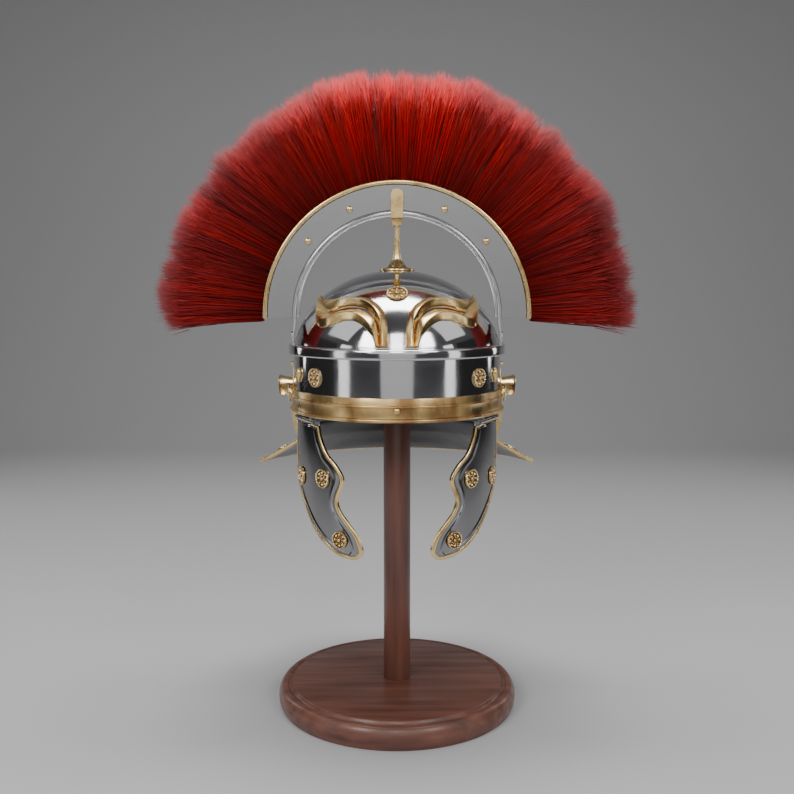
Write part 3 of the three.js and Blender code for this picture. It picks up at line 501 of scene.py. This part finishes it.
band = [(0.5, 311), (1.3, 311.2), (1.7, 310.6), (1.6, 306.1)]
band += half_round((1.5, BEAD_HEIGHT), 1.5, 80, -80, 9) + [(1.6, 302.2), (1.6, 295.2), (1.8, 294.2)]
band += half_round((1.9, 292.3), 1.8, 70, -100, 10) + [(0.5, 290.6)]
band_strip = along_wall(band, -BAND_ANGLE, BAND_ANGLE, 241)
make_piece("brow_band_brass", [band_strip], band_brass, "brass", stands_for=["brow_band"])
band_rivet = stood(turned(rivet_head(3, 0.5, 1.9), 32), wall_place(0, 0, 301), wall_normal(0), 3.3)
make_piece("brow_band_rivet", [band_rivet], aged_brass, "brass", stands_for=["brow_rivet"])

# ---------- Brow guard ----------
# Steel bar forged to an L and riveted across the brow as a peak against blows. It reaches furthest out
# over the face and dies into the bowl above the ears.
guard = [(0.5, 353.5), (13.2, 353.5)] + half_round((13.6, 351.4), 2.1, 78, 20, 6)
guard += [(15.9, 349.4), (15.7, 346.4)]
guard += half_round((14.2, 346.1), 1.5, -10, -120, 6) + [(12.5, 346), (12.4, 350.3), (0.5, 350.7)]
guard_bar = along_wall(guard, -92, 92, 201, lambda d: 0.12 + 0.88 * np.maximum(0, np.cos(np.radians(d))))
make_piece("brow_guard_bar", [guard_bar], mirror_steel, "polished_steel", stands_for=["brow_guard"])

# ---------- Eyebrows ----------
# Embossed brass eyebrows, one over each eye: an upper and a lower wing like steps, each rising to a sharp
# ridge, joined at a foot above the brow guard. The lower wing ends in a horn that curls up.
BROW_FOOT = 354.8


def wing(outer_stops, ridge_stops, rise, steps=90):
    """A wedge on the dome: across it the point goes from the outer line past the ridge line. Its height
    climbs in a flat face to a ridge a little past half way, and falls in a second, steeper flat face."""
    outer = flowing(dome_front(outer_stops), steps)[:, None]
    ridge = flowing(dome_front(ridge_stops), steps)[:, None]
    across = np.array([0, 0, 0.05, 0.56, 0.62, 0.68, 1.08, 1.12])[None]
    lift = np.array([0.4, 2.2, 2.8, 5.9, 6.1, 5.9, 1.9, 0.4])[None, :, None] * rise / 6
    point, normal = on_dome(outer + (ridge - outer) * across[..., None])
    return bar(point + normal * lift)


upper_outer = [(-7.2, BROW_FOOT), (-7.8, 370), (-10.4, 382), (-16.6, 389.8), (-25.5, 394.2)]
upper_outer += [(-36, 395.2), (-49, 393.6), (-64, 392.4)]
upper_ridge = [(-14.2, BROW_FOOT), (-14.6, 367.6), (-16.5, 375), (-21, 382.8), (-26.8, 387.5)]
upper_ridge += [(-33, 389.3), (-44, 389.5), (-60, 384.6)]
upper_wing = wing(upper_outer, upper_ridge, 6)
lower_outer = [(-13.6, BROW_FOOT), (-16.4, 368.5), (-19.2, 377), (-25, 382), (-31, 384.8)]
lower_outer += [(-38, 385.2), (-48, 383.9)]
lower_ridge = [(-17.6, BROW_FOOT), (-20.8, 363.7), (-26.4, 371), (-31.5, 375.2), (-37.6, 377.6)]
lower_ridge += [(-45.5, 377.4), (-53, 375)]
curl_outer = [(-55, 381.8), (-60, 382.6), (-63.5, 387), (-66, 394.4)]
curl_ridge = [(-61, 371.6), (-68, 371.8), (-71.4, 380), (-67.2, 394.8)]
lower_wing = wing(lower_outer + curl_outer, lower_ridge + curl_ridge, 5.6, 120)
mount_pair("eyebrow", [upper_wing, lower_wing], crease=30)

# ---------- Ear guards ----------
# Brass hood over each ear, bent to the arch of the cut-out and flared outwards, with a flange that is
# riveted flat against the wall.
EAR_REACH = 18


def ear_arch(inset, start, stop, steps):
    """Half ellipse round the ear cut-out in side view, (y, z), widened by an inset."""
    phase = np.radians(np.linspace(start, stop, steps))
    y = EAR_Y - (EAR_HALF + inset) * np.cos(phase)
    return y, RIM_HEIGHT - 1 + (EAR_RISE + inset) * np.sin(phase)


def hood_section(start, stop, steps, section):
    """A section of (outwards, inset) points carried round the arch; outwards it flares by the square of
    the reach, and it reaches less at the feet of the arch than at the top."""
    rows = []
    for outwards, inset in section:
        y, z = ear_arch(inset, start, stop, steps)
        t = outwards / EAR_REACH
        reach = outwards * (0.62 + 0.38 * np.clip((z - RIM_HEIGHT) / EAR_RISE, 0, 1))
        x = -HALF_WIDTH * np.sqrt(1 - (y / REAR) ** 2) - 0.75 - reach
        wide_y = EAR_Y + (y - EAR_Y) * (1 + 0.16 * t * t)
        rows.append([x, wide_y, RIM_HEIGHT + (z - RIM_HEIGHT) * (1 + 0.1 * t * t)])
    return bar(np.transpose(np.array(rows), (2, 0, 1)))


hood = [(0, 0.4), (6, 0.4), (12, 0.4), (16.6, 0.4), (17.6, 0.1), (18.1, 0.6), (18.1, 1.5)]
hood += [(17.4, 2.1), (16.4, 1.7), (12, 1.7), (6, 1.7), (0, 1.7)]
flange = [(0, 0.4), (1.4, 0.4), (1.4, 4.2), (0.9, 4.5), (0, 4.5)]
mount_pair("ear_guard", [hood_section(26, 180, 91, hood), hood_section(32, 180, 91, flange)])

# ---------- Crest box ----------
# The box that holds the hair: two curved side plates of dull grey steel with brass edging, on a polished
# steel arch whose legs stand on the brow guard. Two brass rivets on each shoulder of the front plate.
CREST_Z = 378.3
CREST_HALF = 16
satin_steel, tree, shader = new_finish("satin steel", (0.30, 0.30, 0.305), 0.85, 0.46)
graded(tree, cloud(tree, 60, 5, (1, 1, 6)), 0.38, 0.54, shader.inputs["Roughness"])
relief(tree, cloud(tree, 300, 4), shader, 0.12, 0.4)


def ring_bar(section, start, stop, steps):
    """A section of (radius, y) points carried round the crest's centre, cosine across and sine up."""
    angle = np.radians(np.linspace(start, stop, steps))[:, None]
    radius, y = np.array(section, float).T
    grid = [radius * np.cos(angle), y + 0 * angle, CREST_Z + radius * np.sin(angle)]
    return bar(np.stack(grid, axis=-1))


PLATE_INNER, PLATE_OUTER = 97.9, 121.2
PLATE_BACK = 14.8
EDGING_RADIUS, EDGING_Y = 123.85, 15.3
full_round = np.linspace(0, 2 * math.pi, 17)[:-1]
for side, way in (("front", 1), ("back", -1)):
    plate = [(PLATE_INNER, -CREST_HALF * way), (PLATE_OUTER, -CREST_HALF * way)]
    plate += [(PLATE_OUTER, -PLATE_BACK * way), (PLATE_INNER, -PLATE_BACK * way)]
    make_piece(f"crest_side_{side}", [ring_bar(plate, -1, 181, 161)], satin_steel, "grey_steel",
               stands_for=[f"crest_plate_{side}"], bevel=0.25)
    edge = [(EDGING_RADIUS + 2.3 * math.cos(t), way * (-EDGING_Y + 1.75 * math.sin(t))) for t in full_round]
    make_piece(f"crest_edge_{side}", [ring_bar(edge, -1, 181, 181)], aged_brass, "brass",
               stands_for=[f"crest_trim_{side}"])

strip_section = [(95.9, -CREST_HALF), (97.5, -CREST_HALF), (97.5, CREST_HALF), (95.9, CREST_HALF)]
arch = ring_bar(strip_section, -1, 181, 161)
rolls = [ring_bar(half_round((95.7, y), 1.5, 0, 330, 12), -1, 181, 161) for y in (-15.2, 15.2)]
leg_x = [-96.7, -96.9, -97.8, -98.35, -98.4]
leg_path = flowing(list(zip(leg_x, [378.3, 372, 364, 358, 353.85])), 24)
leg_grid = [[(x - 0.8, -7, z), (x + 0.8, -7, z), (x + 0.8, 7, z), (x - 0.8, 7, z)] for x, z in leg_path]
leg = bar(np.array(leg_grid))
right_leg = (leg[0] * flip, leg[1])
make_piece("crest_arch_strip", [arch, *rolls, leg, right_leg], mirror_steel, "polished_steel",
           stands_for=["crest_arch"], bevel=0.2)

RIVET_CIRCLE = 108
knob = rivet_head(3.1, 0.4, 1.5)
for number, degrees in enumerate((140, 114, 66, 40), start=1):
    rivet_turn = math.radians(degrees)
    spot = (RIVET_CIRCLE * math.cos(rivet_turn), -CREST_HALF, CREST_Z + RIVET_CIRCLE * math.sin(rivet_turn))
    rivet = stood(turned(knob, 32), spot, (0, -1, 0), 0.1)
    node = f"crest_rivet_{number}"
    make_piece(f"crest_rivet_head_{number}", [rivet], aged_brass, "brass", stands_for=[node])
leg_knob = stood(turned([(0.9 * r, 1.3 * z) for r, z in knob], 32), (-99.0, -2, 361), (-1, 0, 0), 0.1)
mount_pair("leg_rivet", [leg_knob], finish=mirror_steel, slot="polished_steel")

# ---------- Crest holder ----------
# Brass stem that carries the crest box: a foot disc brazed on top of the dome, a slender turned stem,
# and a fork whose two round-topped leaves clasp the box front and back.
stem_stops = [(16.3, 422.4), (12.4, 423.4), (9.4, 424.3), (6.4, 428.5), (4, 433.5), (2.9, 443), (2.6, 451.5)]
stem_lower = flowing(stem_stops, 40)
stem_upper = flowing([(2.6, 451.5), (2.2, 461.1), (2.6, 462.6), (3.6, 464.5)], 14)
stem_foot = [(0, 421.9), (9, 421.55), (16, 420.8), (16.5, 421.4)]
stem = turned([*stem_foot, *stem_lower, *stem_upper[1:], (0, 464.5)], 64)
FORK_HALF, FORK_LOW, FORK_HIGH, FORK_REACH = 5.8, 469.2, 473.6, 17.85


def box(low, high):
    """The eight corners and six sides of a plain block."""
    xs, ys, zs = zip(low, high)
    corners = np.array([(x, y, z) for x in xs for y in ys for z in zs], float)
    return corners, [[0, 1, 3, 2], [4, 6, 7, 5], [0, 4, 5, 1], [2, 3, 7, 6], [0, 2, 6, 4], [1, 5, 7, 3]]


leaf_top = half_round((0, 490.2), FORK_HALF, 0, 180, 25)
leaf_edge = [(-FORK_HALF, FORK_LOW), (FORK_HALF, FORK_LOW), *leaf_top]
leaf_depths = ((-FORK_REACH, -16.35), (16.35, FORK_REACH))
leaves = [bar(np.array([[(x, y, z) for x, z in leaf_edge] for y in pair])) for pair in leaf_depths]
cross_bar = box((-FORK_HALF + 0.5, -17.2, FORK_LOW + 0.6), (FORK_HALF - 0.5, 17.2, FORK_HIGH))
block = box((-4.5, -5, 463.5), (4.5, 5, 469.5))
make_piece("crest_holder_fork", [stem, block, cross_bar, *leaves], aged_brass, "brass",
           stands_for=["crest_holder"], bevel=0.3)

# ---------- Plume ----------
# Dyed horsehair standing out of the crest box in a fan: thousands of stiff hairs that gather in tufts,
# bright red half way and paler at their uneven tips. Towards the root they are painted darker as painted
# shade deep in the fan, and over the top of the fan brighter as a painted highlight from the top lamp.
HAIR_FAN = 182.2
HAIRS_PER_PIECE = 12500
rng = np.random.default_rng(41)
hair_red, tree, shader = new_finish("dyed horsehair", (0.5, 0.01, 0.01), 0, 0.55)
tint = tree.nodes.new("ShaderNodeVertexColor")
tint.layer_name = "hair_colour_and_painted_light"
tree.links.new(tint.outputs["Color"], shader.inputs["Base Color"])
shader.inputs["Specular IOR Level"].default_value = 0.3


def hair_spread(radius):
    """Half depth of the fan at a radius from the crest's centre."""
    return np.interp(radius, [98, 127, 142, 167, 197, 229], [12.6, 12.8, 19, 27, 33, 35])


def tinted(piece, colours):
    """Stores one colour per point for the finish to read."""
    layer = piece.data.color_attributes.new("hair_colour_and_painted_light", "FLOAT_COLOR", "POINT")
    opaque = np.hstack([colours, np.ones((len(colours), 1))])
    layer.data.foreach_set("color", opaque.astype(np.float32).ravel())


# A core fills the fan among the hairs; its very dark red is painted shade, the shade deep inside the hair.
core_stops = [(98.2, 12.4), (127.2, 12.4), (142, 17), (165, 22), (188, 21), (200, 10)]
core_section = core_stops + [(radius, -y) for radius, y in reversed(core_stops)]
core = ring_bar(core_section, 3, 177, 181)
shade_core_piece = make_piece("plume_shade_core", [core], hair_red, "horsehair", stands_for=["plume"])
tinted(shade_core_piece, np.tile((0.15, 0.003, 0.004), (len(shade_core_piece.data.vertices), 1)))

tuft_count = 300
tuft_angle = rng.uniform(-2.2, HAIR_FAN, tuft_count)
lock_angle = np.linspace(-1, 181, 44) + rng.normal(0, 0.9, 44)
lock_end = rng.normal(0, 3.6, 44)
lock_tone = rng.uniform(0.82, 1.15, 44)
lock_of_tuft = np.abs(lock_angle[None] - tuft_angle[:, None]).argmin(axis=1)
tuft_end = rng.normal(0, 2.6, tuft_count) + lock_end[lock_of_tuft]
tuft_tone = rng.uniform(0.62, 1.3, tuft_count) * lock_tone[lock_of_tuft]
for bunch in range(5):
    n = HAIRS_PER_PIECE
    angle = rng.uniform(-2.2, HAIR_FAN, n)
    share = rng.uniform(-1, 1, n)
    share = np.sign(share) * np.abs(share) ** 0.85
    nearest = np.abs(tuft_angle[None] - angle[:, None]).argsort(axis=1)[:, :3]
    tuft = nearest[np.arange(n), rng.integers(0, 3, n)]
    end = 227 - 24 * share**2 + tuft_end[tuft] - np.abs(rng.normal(0, 5, n))
    end = np.minimum(end + np.where(rng.random(n) < 0.1, rng.uniform(1, 7, n), 0), 230)
    start = np.where(rng.random(n) < 0.55, rng.uniform(112, 128, n), rng.uniform(150, 196, n))
    start = np.maximum(start, np.where(np.abs(angle - 90) > 90.4, 128, 0))
    along = np.array([0, 0.7, 1.0])
    radius = start[:, None] + (end - start)[:, None] * along
    free = np.clip((radius - 120) / 110, 0, 1)
    bend = rng.normal(0, 1.3, n)[:, None] * free**2
    gather = 0.5 * (tuft_angle[tuft] - angle) + 0.42 * (lock_angle[lock_of_tuft[tuft]] - angle)
    hair_turn = np.radians(angle[:, None] + gather[:, None] * free**1.4 + bend)
    side = share[:, None] * hair_spread(radius) + rng.normal(0, 0.8, n)[:, None] * along
    centre = np.stack([radius * np.cos(hair_turn), side, CREST_Z + radius * np.sin(hair_turn)], axis=-1)
    ahead = unit(centre[:, -1] - centre[:, 0])
    across = unit(np.cross(ahead, (0, 1, 0)))
    above = np.cross(across, ahead)
    third = 2 * np.pi / 3 * np.arange(3) + rng.uniform(0, 2, n)[:, None]
    ring = across[:, None] * np.cos(third)[..., None] + above[:, None] * np.sin(third)[..., None]
    thick = rng.uniform(0.32, 0.48, n)[:, None] * np.array([1.0, 0.75])
    body_points = centre[:, :2, None] + thick[..., None, None] * ring[:, None]
    points = np.concatenate([body_points.reshape(n, 6, 3), centre[:, 2:]], axis=1)
    k = np.arange(3)
    after = (k + 1) % 3
    walls = np.stack([k, after, after + 3, k + 3], axis=1)
    tip = np.stack([k + 3, after + 3, 6 + 0 * k], axis=1)
    step = 7 * np.arange(n)[:, None, None]
    wall_faces = (walls[None] + step).reshape(-1, 4)
    tip_faces = (np.concatenate([tip, [[2, 1, 0]]])[None] + step).reshape(-1, 3)
    mesh = bpy.data.meshes.new(f"plume_hair_{bunch + 1}")
    mesh.from_pydata((points.reshape(-1, 3) * MM).tolist(), [], wall_faces.tolist() + tip_faces.tolist())
    mesh.shade_smooth()
    mesh.materials.append(hair_red)
    hair = bpy.data.objects.new(mesh.name, mesh)
    bpy.context.scene.collection.objects.link(hair)
    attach(hair, HELMET)
    height = np.clip((radius - 120) / 108, 0, 1)
    bright = (tuft_tone[tuft] * rng.uniform(0.7, 1.2, n))[:, None]
    # Painted highlight: hairs near the top of the fan are made brighter and less pale, where the top lamp
    # falls on them.
    painted_top_highlight = 0.95 + 0.5 * np.exp(-(((angle - 90) / 28) ** 2))[:, None]
    # Painted shade: the red is darkest at the roots, deep in the fan, and rises towards the tips.
    red = np.interp(height, [0, 0.35, 0.75, 1], [0.19, 0.32, 0.39, 0.48]) * bright * painted_top_highlight
    pale = np.interp(height, [0, 0.5, 0.8, 1], [0.001, 0.003, 0.018, 0.10]) / painted_top_highlight**1.6
    colour = np.stack([red, pale, pale * 1.05], axis=-1)
    spread = np.concatenate([np.repeat(colour[:, :2], 3, axis=1), colour[:, 2:]], axis=1)
    tinted(hair, spread.reshape(-1, 3))

# ---------- Cheek guards ----------
# A curved plate of polished steel hangs at each side from its hinge: a raised line follows its edge
# inside a brass binding, and three rosettes are riveted on. Each side moves with its own body.
CHEEK_OVAL = {"half": 95, "front": 109, "rear": 109}
HINGE_ANGLE, HINGE_Z = 62, 286
hinge_middle = wall_place(-HINGE_ANGLE, -0.9, HINGE_Z, **CHEEK_OVAL)
hinge_ahead = unit(wall_place(-HINGE_ANGLE + 0.1, -0.9, HINGE_Z, **CHEEK_OVAL) - hinge_middle)
sweep_degrees = np.linspace(-130, 15, 600)
sweep_forward = (wall_place(sweep_degrees, 0, HINGE_Z, **CHEEK_OVAL) - hinge_middle) @ hinge_ahead


def cheek_place(forward, below, out):
    """Point of the left cheek's curved surface: the oval's angle is read off a table of how far forward of
    the hinge's middle each angle lies, then the point moves out of the surface and down."""
    degrees = np.interp(forward, sweep_forward, sweep_degrees)
    return wall_place(degrees, out, HINGE_Z + below, **CHEEK_OVAL)


rear_stops = [(-39, -50), (-31, -58), (-19, -65.5), (-1, -81), (17, -97), (33, -108)]
rear_stops += [(49, -115.4), (60, -117.4)]
rear_line = np.concatenate([np.linspace((-38.5, -3), (-39, -50), 16)[:-1], flowing(rear_stops, 60)])
front_stops = [(26.4, -3), (30.4, -15), (37.5, -26.6), (48, -35.6), (54.6, -45.4)]
front_stops += [(54.2, -53), (50.4, -62.6), (49.6, -70), (53, -77.4), (60, -86.4)]
front_stops += [(66.6, -96), (70.4, -109), (67.5, -115.6), (63, -117.5)]
front_line = flowing(front_stops, 75)


def outline_inset(line_points, distance):
    """The closed outline moved inwards, each point along the line that halves its corner."""
    back = unit(line_points - np.roll(line_points, 1, 0))
    ahead = unit(np.roll(line_points, -1, 0) - line_points)
    inwards = unit(np.stack([-(back + ahead)[:, 1], (back + ahead)[:, 0]], axis=1))
    return line_points + inwards * distance


cheek_outline = np.concatenate([rear_line, front_line[::-1]])
plate_outline = outline_inset(cheek_outline, 3.3)
half_way = len(rear_line)
left_edge, right_edge = plate_outline[:half_way], plate_outline[half_way:][::-1]
u = np.linspace(0, 1, 49)[None, :, None]
face = left_edge[:, None] * (1 - u) + right_edge[:, None] * u
gap_in = np.minimum(u[..., 0], 1 - u[..., 0]) * np.linalg.norm(right_edge - left_edge, axis=1)[:, None]
line_height = 0.55 * np.exp(-(((gap_in - 4.2) / 0.9) ** 2))
outer_face = cheek_place(face[..., 0], face[..., 1], line_height)
inner_face = cheek_place(face[..., 0], face[..., 1], -1.8)
rows, columns = outer_face.shape[:2]
skin = np.concatenate([outer_face.reshape(-1, 3), inner_face.reshape(-1, 3)])
border = list(range(columns)) + [k * columns + columns - 1 for k in range(1, rows)]
border += [(rows - 1) * columns + k for k in range(columns - 2, -1, -1)]
border += [k * columns for k in range(rows - 2, 0, -1)]
count = rows * columns
sheet_faces = quads(rows, columns, False, False)
sheet_faces += [[corner + count for corner in face_corners] for face_corners in sheet_faces]
sheet_faces += [[a, b, b + count, a + count] for a, b in zip(border, border[1:] + border[:1])]
cheek_sheet = (skin, sheet_faces)
binding_section = [(0, -2.2), (0.3, -2.6), (2.6, -2.6), (3, -2.2), (3, 0.2), (2.7, 0.6)]
binding_section += [(1.5, 0.8), (0.4, 0.5), (0, 0.1)]
binding_lines = []
for inwards, out in binding_section:
    forward, below = outline_inset(cheek_outline, inwards).T
    binding_lines.append(cheek_place(forward, below, out))
binding = np.stack(binding_lines, axis=1)
# The cheek plates take the polished steel at half its colour: the darker colour is painted shade.
cheek_steel_painted_shade, tree, shader = new_finish("cheek steel with painted shade", (0.33, 0.33, 0.335), 1, 0.16)
graded(tree, cloud(tree, 24, 6), 0.12, 0.24, shader.inputs["Roughness"])
relief(tree, cloud(tree, 15, 2), shader, 0.6, 0.5)
cheeks = {"left_body": "cheek_left", "right_body": "cheek_right"}
mount_pair("cheek_plate", [cheek_sheet], finish=cheek_steel_painted_shade, slot="polished_steel", **cheeks)
mount_pair("cheek_edging", [bar(binding, closed=True)], **cheeks)

cheek_rosettes = (("front", 33, -49.5, 8.8), ("rear", -8, -53, 8.4), ("low", 52, -101.5, 8))
for name, forward, below, radius in cheek_rosettes:
    spot = cheek_place(forward, below, 0)
    mount = stood(rosette(radius, 2.8), spot, cheek_place(forward, below, 1) - spot, 0.4)
    mount_pair(f"cheek_rosette_{name}", [mount], finish=brass_painted_shade_highlight, **cheeks)

# ---------- Hinges ----------
# Steel piano hinges of five knuckles on a pin, one leaf riveted inside the wall and one inside the cheek
# guard. They are made as they stand in the frame and take the polished finish.
for side in ("left", "right"):
    for node in ("bowl_hinge", "cheek_hinge", "hinge_pin"):
        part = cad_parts[f"{node}_{side}"]
        part.data.materials.clear()
        part.data.materials.append(mirror_steel)

# ---------- Studio ----------
# A pale floor that sweeps up behind, soft lamps that the polished steel mirrors as panels, and the
# camera. None of it is part of the object.
STUDIO_REACH = 4
COVE_START, COVE_RADIUS = 1.5, 0.9
cove = [(COVE_START + COVE_RADIUS * math.sin(t), COVE_RADIUS - COVE_RADIUS * math.cos(t))
        for t in np.linspace(0.05, math.pi / 2, 24)]
floor_line = [(-STUDIO_REACH, 0), (COVE_START, 0), *cove, (COVE_START + COVE_RADIUS, STUDIO_REACH)]
floor_grid = np.array([[(x, y, z) for x in (-STUDIO_REACH, STUDIO_REACH)] for y, z in floor_line])
floor_mesh = bpy.data.meshes.new("floor")
floor_mesh.from_pydata(floor_grid.reshape(-1, 3).tolist(), [], quads(len(floor_grid), 2, False, False))
floor_mesh.shade_smooth()
floor = bpy.data.objects.new("floor", floor_mesh)
bpy.context.scene.collection.objects.link(floor)
floor_paint, _, _ = new_finish("pale floor", (0.50, 0.50, 0.505), 0, 0.75)
floor_mesh.materials.append(floor_paint)

world = bpy.data.worlds.new("studio")
world.use_nodes = True
world.node_tree.nodes["Background"].inputs["Color"].default_value = (0.075, 0.075, 0.08, 1)
world.node_tree.nodes["Background"].inputs["Strength"].default_value = 1
bpy.context.scene.world = world


def soft_light(name, place, aim, size, brightness):
    """A rectangular lamp turned to face a point; its power is its brightness times its area times pi."""
    lamp = bpy.data.lights.new(name, "AREA")
    lamp.shape = "RECTANGLE"
    lamp.size, lamp.size_y = size
    lamp.energy = brightness * size[0] * size[1] * math.pi
    holder = bpy.data.objects.new(name, lamp)
    holder.location = place
    away = np.array(place) - np.array(aim)
    level = math.hypot(away[0], away[1])
    holder.rotation_euler = (math.atan2(level, away[2]), 0, math.atan2(away[0], -away[1]))
    holder.visible_camera = False
    bpy.context.scene.collection.objects.link(holder)


HEAD = (0, 0, 0.35)
soft_light("key", (-0.95, -1.25, 1.35), HEAD, (0.55, 0.75), 9)
soft_light("second", (0.95, -1.25, 1.35), HEAD, (0.5, 0.7), 7)
soft_light("top", (0, 0.1, 1.7), HEAD, (0.9, 0.6), 12)
soft_light("front", (0, -1.7, 0.38), HEAD, (1.15, 0.62), 0.5)
soft_light("brow", (0, -1.25, 1.15), HEAD, (0.34, 0.62), 5)
soft_light("canopy", (0, -1.75, 0.95), HEAD, (2.2, 0.62), 0.8)
for side in (-1, 1):
    soft_light(f"shoulder {side}", (1.3 * side, -0.25, 1.45), HEAD, (0.9, 0.8), 0.8)
    soft_light(f"strip {side}", (1.45 * side, -0.75, 0.45), HEAD, (0.36, 1.0), 1.5)
    soft_light(f"edge {side}", (1.2 * side, 0.75, 0.7), HEAD, (0.2, 1.0), 3.5)

flag_cloth, _, _ = new_finish("black flag cloth", (0.012, 0.012, 0.012), 0, 0.9)
for side in (-1, 1):
    flag_mesh = bpy.data.meshes.new("side flag")
    near, far = (1.2 * side, -0.35), (1.35 * side, 1.45)
    corners = [(*near, 0.0), (*far, 0.0), (*far, 0.8), (*near, 0.8)]
    flag_mesh.from_pydata(corners, [], [(0, 1, 2, 3)])
    flag_mesh.materials.append(flag_cloth)
    flag = bpy.data.objects.new("side flag", flag_mesh)
    flag.visible_camera = False
    bpy.context.scene.collection.objects.link(flag)

CAMERA_BACK, CAMERA_HEIGHT = 0.9304, 0.4029
CAMERA_TILT = 6.27
camera_data = bpy.data.cameras.new("camera")
camera_data.lens = 44.19
camera_data.sensor_width = 36
camera = bpy.data.objects.new("camera", camera_data)
camera.location = (0, -CAMERA_BACK, CAMERA_HEIGHT)
camera.rotation_euler = (math.radians(90 - CAMERA_TILT), 0, 0)
bpy.context.scene.collection.objects.link(camera)
bpy.context.scene.camera = camera
